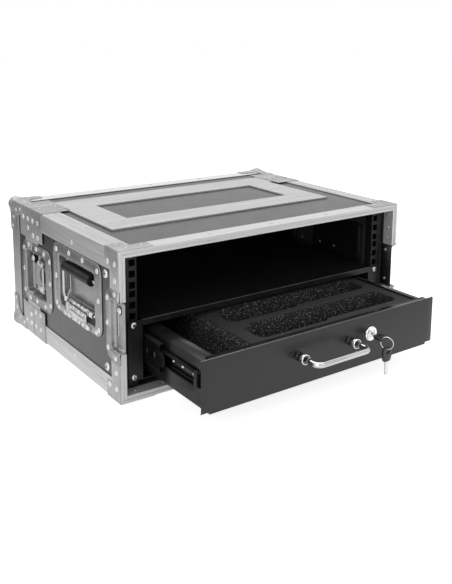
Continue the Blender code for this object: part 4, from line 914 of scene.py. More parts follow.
# %% Drawbars, bosses and wings
ROTOR_Y, ROTOR_INSET, PIN_Y, PIN_INSET = 276.6, 5.4, 268.6, 3.5
DRAWBAR = [(258.6, 10.5, 0), (262, 10.4, 0), (300, 10.4, 0), (304, 10.0, 0.3), (308, 9.2, 0.8),
           (312, 9.0, 1), (316, 9.2, 1), (319.5, 9.8, 0.7), (322.2, 10.6, 0.1), (323.3, 12.2, 0),
           (323.3, 13.3, 0)]
BOSS = [(0, -1.6), (12.6, -1.6), (13, -1.2), (13, -0.3), (12.5, 0), (9.6, 0), (9.2, -0.4),
        (4.8, -0.4), (4.4, 0.5), (2.6, 0.9), (0, 0.9)]
SPINDLE = [(0, -8.3), (3, -8.3), (3, -1), (0, -1)]
DIMPLE = ((1, -0.4), (0.96, 0.8), (0.8, 1.3), (0.62, 0.7), (0.5, -0.3), (0, -0.5))


def lobe_outline(way):
    """One finger lobe of the wing, above or below the boss."""
    points = [(PIN_Y - 4, 15.5), (PIN_Y + 3, 14.5), (PIN_Y + 13, 17), (PIN_Y + 21, 15),
              (PIN_Y + 23, 20), (PIN_Y + 15, 27.5), (PIN_Y - 2, 27.5), (PIN_Y - 4.4, 24)]
    return [(y, MID_Z + way * z) for y, z in fillet(points, [2, 4, 8, 2, 3, 8, 6, 3])]


for side_name, side in SIDES:
    outward = (side, 0, 0)
    rotor_body, rotor = f"latch_turn_{side_name}", f"latch_rotor_{side_name}"
    wing_body, wing = f"wing_{side_name}", f"latch_wing_{side_name}"
    folded(f"drawbar_{side_name}", f"hook_{side_name}", side, DRAWBAR, MID_Z - 24, MID_Z + 13,
           zinc, f"latch_hook_{side_name}", 1.2, 2.4)

    mesh = bmesh.new()
    for profile, steps in ((BOSS, 36), (SPINDLE, 20)):
        turned(mesh, profile, spot(wall(side, ROTOR_INSET), ROTOR_Y, MID_Z), outward, steps)
    add_piece(f"boss_{side_name}", mesh, dark_chrome, rotor_body, 40, rotor)
    for name, half, radius, finish, body, node in (
            ("boss_barrel", 7, 2.2, zinc, rotor_body, rotor),
            ("wing_bar", 16, 2.4, satin_chrome, wing_body, wing)):
        ends = [spot(wall(side, PIN_INSET), PIN_Y, MID_Z + z) for z in (-half, half)]
        tube(f"{name}_{side_name}", ends, radius, finish, body, node=node)

    for level_name, _, way in LEVELS:
        flat(f"wing_lobe_{level_name}_{side_name}", [lobe_outline(way)],
             -PIN_INSET - 0.9 + HALF_WIDTH, 1.8, wall_axes(side), blotched_zinc, wing_body, 0.8, wing)
        for place, y, radius in (("near", PIN_Y - 0.3, 4.4), ("far", PIN_Y + 13.5, 5.2)):
            turned_piece(f"wing_dimple_{level_name}_{place}_{side_name}",
                         [(share * radius, height) for share, height in DIMPLE],
                         spot(wall(side, PIN_INSET - 0.9), y, MID_Z + way * 21.5), outward,
                         blotched_zinc, wing_body, node=wing)
print("latches made")

# %% [markdown]
# ## Side handles
#
# The handle folds flat into its dish. A chromed bail turns in a rolled hinge barrel, small springs
# at both ends of the barrel pull it shut, and a riveted leaf holds the barrel to the rim. The
# rubber grip has a raised collar at each end that stops a hand from sliding off.

# %% Handle dishes, bails and grips
HANDLE_Y = 135
HANDLE_RIM, HANDLE_RECESS = (129, 82, 54, 16), (126, 62, 39, 5)  # middle height, halves, radius
RAISED_FLOOR = ((-11, 14), (-12.5, 13.4), (-14.5, 12.4), (-16, 12.2))
BAIL_INSET, PIVOT_Z, BAIL_TOP_Z, BAIL_HALF, BAIL_BEND = 5.2, 98, 149.5, 56, 8
GRIP_HALF = [(3.1, 46.8), (7.6, 46.8), (8.5, 46), (8.7, 44.6), (8.4, 43.2), (8.1, 42.2),
             (8.3, 30), (8.5, 12)]
GRIP_SHIFT = 3.2  # how much shorter the grip is on one side


def handle_ring(shape, grow):
    """The rim's or the recess's outline, grown on all sides."""
    centre_z, half_length, half_height, radius = shape
    return round_outline((HANDLE_Y - half_length - grow, centre_z - half_height - grow),
                         (HANDLE_Y + half_length + grow, centre_z + half_height + grow),
                         max(radius + grow, 2), 6)


for side_name, side in SIDES:
    dish, handle_body = f"handle_dish_{side_name}", f"handle_{side_name}"
    rings = [(handle_ring(HANDLE_RIM, grow), depth) for grow, depth in RIM_SECTION]
    rings += [(handle_ring(HANDLE_RECESS, grow), depth)
              for grow, depth in (*dish_section(RECESS_DEPTH), *RAISED_FLOOR)]
    pressed(f"handle_tray_{side_name}", "case", side, rings, dish)
    for name, inset, grow, radius, finish in (("back_edge", 15.6, 0.5, 0.45, slide_steel),
                                              ("emboss", 12.4, -14, 0.8, satin_chrome)):
        ring = [spot(wall(side, inset), y, z) for y, z in handle_ring(HANDLE_RECESS, grow)]
        tube(f"handle_{name}_{side_name}", ring, radius, finish, "case", True, 2, dish)
    side_rivets("case", side, 15.3, [(175, 113), (137, 113)], SMALL_HEAD, -1)
    side_rivets("case", side, 8.2, [(205, 171.5), (158, 175.5), (112, 175.5), (60.4, 168.8),
                                    (233.5, 143), (233.5, 107.1)], SMALL_HEAD, -1)
    side_rivets("case", side, -0.1, [(65, 171.5), (112, 175.5), (158, 175.5), (205, 171.5),
                                     (62.5, 129), (207.5, 129), (63, 86), (207, 86),
                                     (70.5, 80.5), (199.5, 80.5)])

    x = wall(side, BAIL_INSET)
    near, far = HANDLE_Y - BAIL_HALF, HANDLE_Y + BAIL_HALF
    corners = [spot(x, y, z) for y, z in (
        (HANDLE_Y - 12, PIVOT_Z), (near, PIVOT_Z), (near, BAIL_TOP_Z), (far, BAIL_TOP_Z),
        (far, PIVOT_Z), (HANDLE_Y + 12, PIVOT_Z))]
    tube(f"bail_rod_{side_name}", bent_path(corners, BAIL_BEND * MM), 2.8, satin_chrome,
         handle_body, sides=5, node=f"handle_bail_{side_name}")
    profile = [(radius, GRIP_SHIFT - height) for radius, height in GRIP_HALF] + GRIP_HALF[::-1]
    turned_piece(f"rubber_sleeve_{side_name}", profile, spot(x, HANDLE_Y, BAIL_TOP_Z), Y_AXIS,
                 rubber, handle_body, 32, node=f"handle_grip_{side_name}")
print("handles made")

# %% Handle hinges
BARREL = [(3.3, -36), (5.2, -36), (5.5, -35.5), (5.5, -12.5), (4.9, -12), (4.9, 12), (5.5, 12.5),
          (5.5, 35.5), (5.2, 36), (3.3, 36)]
COIL_TURNS, COIL_STEPS, COIL_RADIUS, COIL_PITCH = 8, 14, 4.1, 1.3
LEAF_FEET = ((-46, -18, 75.6), (-15, 15, 76.2), (18, 46, 75.6))  # start, end and lower edge
for side_name, side in SIDES:
    x = wall(side, BAIL_INSET)
    turned_piece(f"hinge_barrel_{side_name}", BARREL, spot(x, HANDLE_Y, PIVOT_Z), Y_AXIS,
                 blotched_zinc, "case", 28)
    for way, end_name in ((-1, "near"), (1, "far")):
        coil = []
        for step in range(COIL_TURNS * COIL_STEPS + 1):
            turn = 2 * math.pi * step / COIL_STEPS
            coil.append(spot(x + COIL_RADIUS * math.cos(turn),
                             HANDLE_Y + way * (36.8 + COIL_PITCH * step / COIL_STEPS),
                             PIVOT_Z + COIL_RADIUS * math.sin(turn)))
        coil += [spot(wall(side, inset), HANDLE_Y + way * reach, PIVOT_Z + rise)
                 for inset, reach, rise in ((8.5, 48.5, 4), (12, 50, 12))]
        tube(f"hinge_spring_{end_name}_{side_name}", coil, 0.55, nickel, "case", sides=2)
    leaf = [(HANDLE_Y - 35, PIVOT_Z + 1), (HANDLE_Y - 35, 84)]
    for start, end, drop in LEAF_FEET:
        leaf += [(HANDLE_Y + start, 84 if start == -46 else 80), (HANDLE_Y + start, drop),
                 (HANDLE_Y + end, drop), (HANDLE_Y + end, 84 if end == 46 else 80)]
    leaf += [(HANDLE_Y + 35, 84), (HANDLE_Y + 35, PIVOT_Z + 1)]
    outline = fillet(leaf, [1.5, 3] + [3, 5, 5, 2] * 3 + [3, 1.5])
    pad = round_outline((HANDLE_Y - 27, 84), (HANDLE_Y + 22, 91), 3)
    flat(f"hinge_leaf_{side_name}", [outline], HALF_WIDTH + 1.1, 1.2, wall_axes(side), blotched_zinc,
         "case", 0.4)
    flat(f"hinge_pad_{side_name}", [pad], HALF_WIDTH + 2.2, 0.9, wall_axes(side), satin_chrome,
         "case", 0.4)
    side_rivets("case", side, -2.2, [(HANDLE_Y - 38, 80.3), (HANDLE_Y - 25, 80.3),
                                     (HANDLE_Y, 80.6), (HANDLE_Y + 25, 80.3),
                                     (HANDLE_Y + 38, 80.3)], 3.3)
print("handle hinges made")

# %% [markdown]
# ## Ball corners
#
# The lid's four corners are pressed steel with a ball on the point. Each face carries a shape like
# a tulip: it reaches along both edges and curves in between them. The ball is pressed from the
# same sheet, so a small fillet joins the two.

# %% Ball corners on the lid
CORNER_REACH, CORNER_LEG, CORNER_SHEET, CORNER_OVER = 50, 17, 1.2, 1.2
BALL_RADIUS, BALL_INSET = 12, 5.5


def tulip(origin, way_u, way_v):
    """A corner's outline on one face, from the corner point along both edges."""
    points = [(-CORNER_OVER, -CORNER_OVER), (CORNER_REACH, -CORNER_OVER),
              (CORNER_REACH, CORNER_LEG), (CORNER_LEG + 12, CORNER_LEG + 3),
              (CORNER_LEG + 3, CORNER_LEG + 12), (CORNER_LEG, CORNER_REACH),
              (-CORNER_OVER, CORNER_REACH)]
    return [(origin[0] + way_u * u, origin[1] + way_v * v)
            for u, v in fillet(points, [1, 0.5, 5, 14, 14, 5, 0.5])]


def skirt_loops(corner, outwards, axis, others):
    """Arcs round the ball on one face. Each is lower than the last, and none passes an edge."""
    loops = []
    for radius in (2, 5, 8, 11, 14, 18, 23):
        height = 1.3 + 5.0 * math.exp(-((radius / 10) ** 2))
        loop = []
        for step in range(25):
            angle = math.radians(-75 + 240 * step / 24)
            place = list(corner)
            place[axis] += outwards[axis] * height
            for own, inward in zip(others, (math.cos(angle), math.sin(angle))):
                place[own] -= outwards[own] * max(BALL_INSET + radius * inward, -height)
            loop.append(spot(*place))
        loops.append(loop)
    return loops


for side_name, side in SIDES:
    for corner_level, (_, edge_z, way) in zip(("top", "bottom"), LEVELS):
        name = f"ball_corner_{corner_level}_{side_name}"
        edge_x = wall(side, 0)
        outwards = (side, 1, way)
        for face_name, outline, start, axes in (
                ("side", tulip((LID_REAR, edge_z), -1, -way), side * edge_x, wall_axes(side)),
                ("level", tulip((edge_x, LID_REAR), -side, -1), way * edge_z,
                 (X_AXIS, Y_AXIS, (0, 0, way))),
                ("rear", tulip((edge_x, edge_z), -side, -way), LID_REAR,
                 (X_AXIS, Z_AXIS, Y_AXIS))):
            flat(f"{name}_{face_name}", [outline], start + 0.3, CORNER_SHEET, axes, zinc, "lid",
                 0.35, name)
        mesh = bmesh.new()
        centre = spot(wall(side, BALL_INSET), LID_REAR - BALL_INSET, edge_z - way * BALL_INSET)
        bmesh.ops.create_uvsphere(mesh, u_segments=32, v_segments=20, radius=BALL_RADIUS * MM,
                                  matrix=Matrix.Translation(centre))
        add_piece(f"{name}_ball", mesh, zinc, "lid", 80, name)
        for axis, others in enumerate(((1, 2), (0, 2), (0, 1))):
            outward = [0, 0, 0]
            outward[axis] = outwards[axis]
            sheet(f"{name}_skirt_{'xyz'[axis]}",
                  skirt_loops((edge_x, LID_REAR, edge_z), outwards, axis, others), outward, 0.8,
                  zinc, "lid", name, 60)
        corner = (wall(side, -0.4), LID_REAR + 0.4, edge_z + way * 0.4)
        for axis in range(3):
            ends = [list(corner), list(corner)]
            ends[0][axis] -= outwards[axis] * 6
            ends[1][axis] -= outwards[axis] * (CORNER_REACH - 0.6)
            tube(f"{name}_edge_{'xyz'[axis]}", [spot(*end) for end in ends], 1.1, zinc, "lid",
                 sides=3, node=name)
        for back, drop in ((43, 8.5), (8.5, 43), (25, 12), (12, 27)):
            rivet("lid", spot(wall(side, -1.5), LID_REAR - back, edge_z - way * drop),
                  (side, 0, 0), CORNER_HEAD)
        for inset, back in ((8.5, 43), (43, 8.5), (25, 12), (12, 27)):
            rivet("lid", spot(wall(side, inset), LID_REAR - back, edge_z + way * 1.5),
                  (0, 0, way), CORNER_HEAD)
            rivet("lid", spot(wall(side, inset), LID_REAR + 1.5, edge_z - way * back), Y_AXIS,
                  CORNER_HEAD)
print("ball corners made")

# %% [markdown]
# ## The drawer's front and tray
#
# Both are folded from sheet. The front is a plate with a return along its top and bottom, and its
# corners are cut back so that the returns clear the sides. The tray's sides step in above a wide
# foot, which makes room for the slides, and end in a fold that stiffens them.
#
# A folded section is one list of points. Swept along the sheet and thickened, it keeps the round
# bends that a box with sharp edges lacks, and those bends carry the thin lines of light. Faces that
# look up on the front and on the right side's hem also get a lighter, glossier copy of the paint,
# a painted highlight.

# %% The drawer's front
FRONT_Y, FRONT_LOW, FRONT_TOP = -125.4, 23.5, 95.5
RETURN_LOW = 20.3  # the lower fold hangs below the cut corners
FRONT_HALF, RETURN_HALF, RETURN_DEPTH = 215.75, 202.2, 10


def front_section(reach, back, low):
    """(Y, Z) from the end of the top return, round the face, to the end of the bottom return."""
    face = FRONT_Y + back
    return [(FRONT_Y + reach, FRONT_TOP), (face + 1.6, FRONT_TOP), (face + 0.7, FRONT_TOP - 0.2),
            (face + 0.2, FRONT_TOP - 0.8), (face, FRONT_TOP - 1.8), (face, low + 1.8),
            (face + 0.2, low + 0.8), (face + 0.7, low + 0.2), (face + 1.6, low),
            (FRONT_Y + reach, low)]


half_loops = [(RETURN_HALF, RETURN_DEPTH, 0, RETURN_LOW), (RETURN_HALF + 0.1, 1.9, 0, FRONT_LOW),
              (FRONT_HALF - 0.8, 1.9, 0, FRONT_LOW), (FRONT_HALF - 0.3, 1.9, 0.15, FRONT_LOW),
              (FRONT_HALF, 2.0, 0.6, FRONT_LOW)]
loops = [(-loop[0], *loop[1:]) for loop in half_loops[::-1]] + half_loops
face = sheet("drawer_face",
             [[spot(x, y, z) for y, z in front_section(*shape)] for x, *shape in loops],
             (0, -1, 0), 1.2, drawer_paint, "drawer", "drawer_front")
# Painted highlight on the front's faces that look up.
repaint(face, fold_painted_highlight, lambda flank: flank.normal.z > 0.3)
print("front", 2 * FRONT_HALF, "mm wide")

# %% The tray
TRAY_FRONT, TRAY_REAR, CHEEK_Y, TRAY_SHEET = -115.1, 129.9, -123.9, 1.2
HEM_Z = 90  # above this the sides fold in
half_section = [(189.6, 92.4), (190, 94.2), (190.6, 94.4), (196.6, 94.4), (197.6, 93.9),
                (203.2, 88.6), (204, 87.2), (204, 52.2), (204.7, 51.5), (207, 51.5), (208, 50.6),
                (208, 26), (206.9, 24.9)]
section = [(-x, z) for x, z in half_section] + half_section[::-1]
tray = sheet("tray_sides",
             [[spot(x, y, z) for x, z in section] for y in (CHEEK_Y, 0, TRAY_REAR)],
             (0, 0, -1), TRAY_SHEET, drawer_paint, "drawer", "drawer_tray")
# Painted highlight on the upward faces of the hem, on the right side only.
repaint(tray, fold_painted_highlight, lambda flank: flank.normal.z > 0.7
        and flank.center.z > spot(0, 0, HEM_Z).z and flank.center.x > 0)
rear_wall = [(-207.5, 25), (207.5, 25), (207.5, 51.3), (203.8, 51.3), (203.8, 94.4),
             (-203.8, 94.4), (-203.8, 51.3), (-207.5, 51.3)]
for name, outline, start, axes, edge in (
        ("front_wall", box_outline((-202.6, 25.5), (202.6, 94.3)), -TRAY_FRONT,
         (X_AXIS, Z_AXIS, (0, -1, 0)), 0.2),
        ("rear_wall", rear_wall, TRAY_REAR - TRAY_SHEET, (X_AXIS, Z_AXIS, Y_AXIS), 0.2),
        ("rear_fold", box_outline((-203.5, TRAY_REAR - 14), (203.5, TRAY_REAR - 0.4)), 93.2,
         (X_AXIS, Y_AXIS, Z_AXIS), 0.3)):
    flat(f"tray_{name}", [outline], start, TRAY_SHEET, axes, powder_coat, "drawer", edge,
         "drawer_tray")
print("tray folded from", len(section), "bends")

# %% [markdown]
# ## Foam insert
#
# The insert is two layers glued together: a plain one below and one with the cut-outs above. Faces
# at the level of the top get the skin's material and all others the cut one, so the cut-outs' walls
# and floors sparkle while the top stays quiet. The end at the left, which stands in full light over
# the bare compartment, has a brighter kind of the cut material.

# %% The foam and its cut-outs
FOAM_LOW, FOAM_FLOOR, FOAM_TOP = 26.6, 61, 91
FOAM_LEFT, FOAM_RIGHT, FOAM_NEAR, FOAM_FAR = -123, 202.0, -113.3, 128.1
CAM_LEFT, CAM_RIGHT, CAM_DEEP = 69, 123, -107.4  # a notch in the near side for the lock's cam
OVERLAP = 0.2  # between the two layers


def cutout_outline(far_y):
    """A wide head at the left, a waist, and a slimmer body, with soft corners."""
    left, neck, right = -100, 20, 172
    near_head, near_body = far_y - 55, far_y - 49
    corners = [(left + 22, far_y), (left, far_y - 14), (left, near_head + 8),
               (left + 8, near_head), (neck, near_head), (neck + 6, near_body),
               (right - 8, near_body), (right, near_body + 8), (right, far_y - 8),
               (right - 8, far_y)]
    return fillet(corners, [8, 6, 5, 5, 3, 3, 8, 8, 8, 8], 4)


def on_top(face):
    """Whether a face of the foam is at the level of its top."""
    return face.center.z > spot(0, 0, FOAM_TOP - 1).z


slab = fillet([(FOAM_LEFT, FOAM_NEAR), (CAM_LEFT, FOAM_NEAR), (CAM_LEFT, CAM_DEEP),
               (CAM_RIGHT, CAM_DEEP), (CAM_RIGHT, FOAM_NEAR), (FOAM_RIGHT, FOAM_NEAR),
               (FOAM_RIGHT, FOAM_FAR), (FOAM_LEFT, FOAM_FAR)], [3, 1, 1, 1, 1, 3, 3, 3])
for name, outlines, low, high, edge in (
        ("cut", [slab, cutout_outline(-43), cutout_outline(27)], FOAM_FLOOR - OVERLAP, FOAM_TOP,
         1.2),
        ("base", [slab], FOAM_LOW, FOAM_FLOOR, 1.0)):
    layer = flat(f"foam_layer_{name}", outlines, low, high - low, (X_AXIS, Y_AXIS, Z_AXIS),
                 foam_cut, "drawer", edge, "foam_insert")
    repaint(layer, foam_skin, on_top)
    repaint(layer, foam_side, lambda face: not on_top(face)
            and face.center.x < spot(FOAM_LEFT + 2, 0, 0).x)
print("foam", FOAM_RIGHT - FOAM_LEFT, "mm wide")

# %% [markdown]
# ## Slides
#
# Ball-bearing slides are black with a bright cage between their members. Only the left one shows
# in the photograph: the grey web of the drawer's member with its screws and its black stop, the
# round end of the middle member, and the cage that glints through the holes in it.

# %% Slide members and cages
SLIDE_Z = 64
INNER_LIP = ((204.6, 8.3), (205.1, 9.6), (206.4, 10.9), (212.2, 10.9), (213.6, 10.2),
             (213.8, 8.8), (212.8, 7.8))  # X, and height over the slide's middle
MIDDLE_LIP = ((209.4, 18.6), (209.6, 20), (210.6, 20.5), (215.8, 20.5), (216.8, 19.7), (217, 18))


def round_end(y, depth, half_height):
    """The round front end of a slide's member or cage, from its lower edge up."""
    return [(y - depth * math.sin(math.pi * step / 12),
             SLIDE_Z - half_height * math.cos(math.pi * step / 12)) for step in range(13)]


windows = [round_outline((y, 59.5), (y + 5, 68.5), 1) for y in (-13, 7, 60, 120)]
middle_web = [(202.3, 44.5), (-26, 44.5), *round_end(-24, 14, 12), (-26, 83.5), (202.3, 83.5)]
cage = [(150, 54), *round_end(-22, 8, 10), (150, 74)]
for side_name, side in SIDES:
    axes = wall_axes(side)
    inner, middle = f"slide_inner_{side_name}", f"slide_middle_{side_name}"
    middle_body = f"middle_slide_{side_name}"
    for name, outline, start, thickness, finish, edge in (
            ("web", box_outline((-111, 55.8), (128.5, 72.2)), 204.4, 1.2, slide_steel, 0.2),
            ("stop", round_outline((-112, 54.2), (-104, 73.6), 1.5), 205.7, 8, rubber, 0.6),
            ("front_edge", box_outline((-103.9, 57), (-103.2, 71)), 205.7, 2.4, nickel, 0.2)):
        flat(f"slide_{name}_{side_name}", [outline], start, thickness, axes, finish, "drawer",
             edge, inner)
    # The lips and the middle member take the near-black finish, part black zinc and part painted
    # shade.
    for level_name, _, way in LEVELS:
        for name, lip, stations, body, node in (
                ("slide_lip", INNER_LIP, (-103.5, 10, 128.5), "drawer", inner),
                ("middle_lip", MIDDLE_LIP, (-26, 80, 202.3), middle_body, middle)):
            loops = [[spot(side * x, y, SLIDE_Z + way * height) for x, height in lip]
                     for y in stations]
            sheet(f"{name}_{level_name}_{side_name}", loops, (0, 0, way), 1.1, black_slide_and_shade, body,
                  node)
    for y in (-93, -66, -43, 20, 90):
        rivet("drawer", spot(side * 205.7, y, SLIDE_Z + 0.5), (side, 0, 0), SMALL_HEAD)
    flat(f"middle_web_{side_name}", [middle_web, *windows], 215.8, 1.1, axes, black_slide_and_shade,
         middle_body, node=middle)
    flat(f"slide_cage_{side_name}", [cage], 214.6, 0.8, axes, nickel, middle_body, node=middle)
print("slides made")

# %% [markdown]
# ## Pull handle
#
# The bar is drawn rod with a bend at each end. Each foot is a dark ferrule that ends in a bright
# ring, and the rod is turned down where it enters the ring.

# %% The pull handle
PULL_X, PULL_HALF, PULL_Z, PULL_REACH, PULL_FOOT_Y = -8, 48, 63.7, 40, -146
PULL_BEND = 9
PULL_PARTS = (
    ("ferrule", dark_chrome, [(0, 0.2), (6.4, 0.2), (6.6, 0.8), (6.2, 1.6), (6.1, 6.4), (0, 6.4)]),
    ("barrel", satin_chrome, [(0, 6.2), (6.1, 6.2), (6.3, 6.8), (6.2, 11.8), (5.4, 12.9),
                              (0, 12.9)]),
    ("collar", chrome, [(5.2, 12.6), (6.8, 12.6), (7.4, 13.3), (7.4, 14.8), (6.9, 15.4),
                        (6.2, 15.4), (5.6, 14.9), (5.4, 13.6), (0, 13.4)]),
    ("neck", dark_chrome, [(6.3, 13.8), (6.3, 15.6), (2.9, 15.6), (2.9, 17.2), (3.4, 18.4),
                           (3.4, 19.4), (0, 19.6)]),
    ("shoulder", chrome, [(0, 18.6), (3.4, 18.8), (4.1, 19.8), (4.1, 21), (0, 21.4)]))
near, far = PULL_X - PULL_HALF, PULL_X + PULL_HALF
corners = [spot(x, y, PULL_Z) for x, y in (
    (near, PULL_FOOT_Y), (near, FRONT_Y - PULL_REACH), (far, FRONT_Y - PULL_REACH),
    (far, PULL_FOOT_Y))]
tube("pull_rod", bent_path(corners, PULL_BEND * MM), 4, banded_chrome, "drawer", sides=6,
     node="pull_handle")
for end_name, x in (("left", near), ("right", far)):
    for part, finish, profile in PULL_PARTS:
        turned_piece(f"pull_{part}_{end_name}", profile, spot(x, FRONT_Y, PULL_Z), (0, -1, 0),
                     finish, "drawer", 28, node="pull_handle")
print("pull handle made")

# %% [markdown]
# ## Lock and keys
#
# The lock's rosette is turned brass with chrome on it, and its plug has a wide keyway. A key is in
# it. A spare hangs from a split ring, which is one wire wound round twice, so it shows two turns.

# %% Lock
LOCK_X, LOCK_Z = 81, 66
ROSETTE = [(5.5, -13.5), (5.5, 2.0), (6.2, 2.6), (7.4, 2.9), (9.4, 2.8), (10.6, 2.2), (11.2, 1.2),
           (11.2, 0.3), (8.0, 0.3), (8.0, -13.5)]
PLUG = [(0, -13.6), (5.2, -13.6), (5.2, 2.6), (4.8, 3.1), (3.9, 3.2), (3.7, 2.7), (0, 2.7)]
for name, profile, body, steps, node in (
        ("lock_rosette", ROSETTE, "drawer", 40, "lock_barrel"),
        ("plug_face", PLUG, "lock_plug_body", 32, "lock_plug")):
    turned_piece(name, profile, spot(LOCK_X, FRONT_Y, LOCK_Z), (0, -1, 0), chrome, body, steps,
                 node=node)
# The keyway is a thin dark plate on the plug's face, painted shade for the inside of the slot.
for name, width, height in (("across", 7.6, 2.4), ("upright", 2.0, 6.4)):
    outline = round_outline((LOCK_X - width / 2, LOCK_Z - height / 2),
                            (LOCK_X + width / 2, LOCK_Z + height / 2), 0.7)
    flat(f"keyway_{name}", [outline], -FRONT_Y + 2.65, 0.15, (X_AXIS, Z_AXIS, (0, -1, 0)),
         slide_steel, "lock_plug_body", 0, "lock_plug")
print("lock made")

# %% Keys
HOLE_Y, RING_X, RING_Y, RING_Z, SPARE_Z = -151.1, 83.75, -155.863, 60.0, 48.4
RING_RADIUS, RING_STEPS, WIRE_PITCH = 9.2, 40, 1.1
BOW_SHEET, BLADE_SHEET = 3.6, 1.8


def key_outlines():
    """The bow with its hole, and the blade with teeth on both edges, as (across, along)."""
    bow = [(-7.8, -6.1), (7.8, -6.1), (8.6, 2), (8.4, 10), (6.6, 14.4), (4.4, 15.9),
           (-4.4, 15.9), (-6.6, 14.4), (-8.4, 10), (-8.6, 2)]
    blade = [(-3.25, 14), (-3.25, 17.5)]
    teeth = [18 + 2.8 * step for step in range(6)]
    for start in teeth:
        blade += [(-3.25, start), (-2.4, start + 0.8), (-2.4, start + 1.5), (-3.25, start + 2.2)]
    blade += [(-1.6, 36.3), (1.6, 36.3)]
    for start in reversed(teeth):
        blade += [(3.25, start + 2.2), (2.2, start + 1.6), (2.2, start + 0.9), (3.25, start)]
    return (fillet(bow, [4, 4, 5, 5, 3, 1.5, 1.5, 3, 5, 5], 4), circle_outline((0, 0), 4.0, 20),
            blade + [(3.25, 17.5), (3.25, 14)])


for name, body, node, origin, way, axes, middle in (
        ("key", "key_body", "lock_key", (LOCK_X, HOLE_Y), 1, (X_AXIS, Y_AXIS, Z_AXIS), LOCK_Z),
        ("spare", "spare_key_body", "spare_key", (RING_X, SPARE_Z), -1,
         (X_AXIS, Z_AXIS, Y_AXIS), RING_Y)):
    bow, hole, blade = ([(origin[0] + across, origin[1] + way * along)
                         for across, along in outline] for outline in key_outlines())
    flat(f"{name}_bow", [bow, hole], middle - BOW_SHEET / 2, BOW_SHEET, axes, key_plastic, body,
         0.7, node)
    flat(f"{name}_blade", [blade], middle - BLADE_SHEET / 2, BLADE_SHEET, axes, nickel, body,
         0.25, node)

turns = []
for step in range(2 * RING_STEPS + 1):
    angle = 2 * math.pi * step / RING_STEPS
    shift = WIRE_PITCH * (step / (2 * RING_STEPS) - 0.5)
    along, rise = RING_RADIUS * math.sin(angle), RING_RADIUS * math.cos(angle)
    turns.append(spot(RING_X + 0.5 * along + 0.866 * shift,
                      RING_Y - 0.866 * along + 0.5 * shift, RING_Z + rise))
tube("split_ring", turns, 0.55, nickel, "ring_body", sides=3, node="key_ring")
print("keys made")

# %% [markdown]
# ## The housing's front edge
#
# The drawer unit's housing is sheet steel, and its upper front edge shows as one thin line. A thin
# rod laid along that edge gives the line here.

# %% The housing's front edge
HOUSING_FRONT_Y, HOUSING_TOP, HOUSING_HALF = 18.1, 106.3, 219.2
tube("housing_edge", [spot(x, HOUSING_FRONT_Y, HOUSING_TOP) for x in (-HOUSING_HALF, HOUSING_HALF)],
     0.55, dark_chrome, "case", sides=3)
print("edge made")

# %% [markdown]
# ## Screws
#
# The rack ears are held by cross-headed screws, and the rack strips by large-headed ones that come
# through the side walls. A cross recess is two short grooves; here they are two dark flat strips
# just over the head, painted shade for the grooves' insides.

# %% Screws
SCREW_HEAD = ((1, None), (1, 0.2), (0.9, 0.6), (0.62, 0.93), (0.3, 1), (0, 1))
RECESS_TURN = math.radians(27)


def cross_screw(name, place, outward, radius):
    """A low round head, with two dark strips over it as painted shade for its cross recess."""
    height = 0.42 * radius
    profile = [(share * radius, -0.4 if rise is None else rise * height)
               for share, rise in SCREW_HEAD]
    turned_piece(name, profile, place, outward, nickel, "case", smooth=50)
    outward = Vector(outward)
    up = Vector(Z_AXIS)
    turn = Matrix.Rotation(RECESS_TURN, 3, outward)
    across, along = turn @ up.cross(outward), turn @ up
    start = place + outward * (height * MM)
    # Two dark strips a hair above the head: painted shade for the grooves.
    mesh = bmesh.new()
    for long, short in ((0.55, 0.13), (0.13, 0.55)):
        corners = [start + (across * u * long + along * v * short) * radius * MM
                   + outward * 0.00004 for u, v in ((-1, -1), (1, -1), (1, 1), (-1, 1))]
        mesh.faces.new([mesh.verts.new(corner) for corner in corners])
    add_piece(f"{name}_recess", mesh, slide_steel, "case", 50)


for side_name, side in SIDES:
    for level_name, ear_z in (("lower", 24.55), ("upper", 100.75)):
        cross_screw(f"ear_screw_{level_name}_{side_name}", spot(side * 232.55, 18, ear_z),
                    (0, -1, 0), 4.6)
    for level_name, wall_z in (("lower", 40), ("upper", 174.2)):
        cross_screw(f"wall_screw_{level_name}_{side_name}", spot(wall(side, 1.5), 41, wall_z),
                    (side, 0, 0), 6.2)
print("screws made")

# %% [markdown]
# ## The rivets themselves
#
# A blind rivet leaves a low dome with a dimple in its middle. One profile, taken round each rivet's
# own axis, gives all of them. Those of one body and one finish share a mesh, because nobody needs
# to pick one out.

# %% Make every rivet in the list
def rivet_profile(radius):
    """A dome with a dimple in its middle."""
    height = 0.38 * radius
    return [(radius, -0.3), (radius, 0.25 * height), (0.86 * radius, 0.62 * height),
            (0.62 * radius, 0.92 * height), (0.40 * radius, height),
            (0.30 * radius, 0.92 * height), (0.25 * radius, 0.5 * height), (0, 0.45 * height)]


def rivet_kind(outward, radius):
    """Heads on upright faces are bright nickel. Heads on level faces get a darker, rougher copy,
    painted shade that keeps the overhead lamp from whitening them, except small ones facing up,
    which are aluminium, like the strip.
    """
    if abs(outward.z) < 0.5:
        return "upright"
    return "small" if radius < 3.5 and outward.z > 0 else "level"


for body in frame["bodies"]:
    for kind, finish in (("upright", nickel), ("level", rivet_shaded_copy), ("small", aluminium_x)):
        own = [entry for entry in rivets
               if entry[0] == body and rivet_kind(*entry[2:]) == kind]
        if own:
            mesh = bmesh.new()
            for _, place, outward, radius in own:
                turned(mesh, rivet_profile(radius), place, outward, 14)
            add_piece(f"{body}_{kind}_rivets", mesh, finish, body, 60)
            print(body, "has", len(own), "rivets of", finish.name)

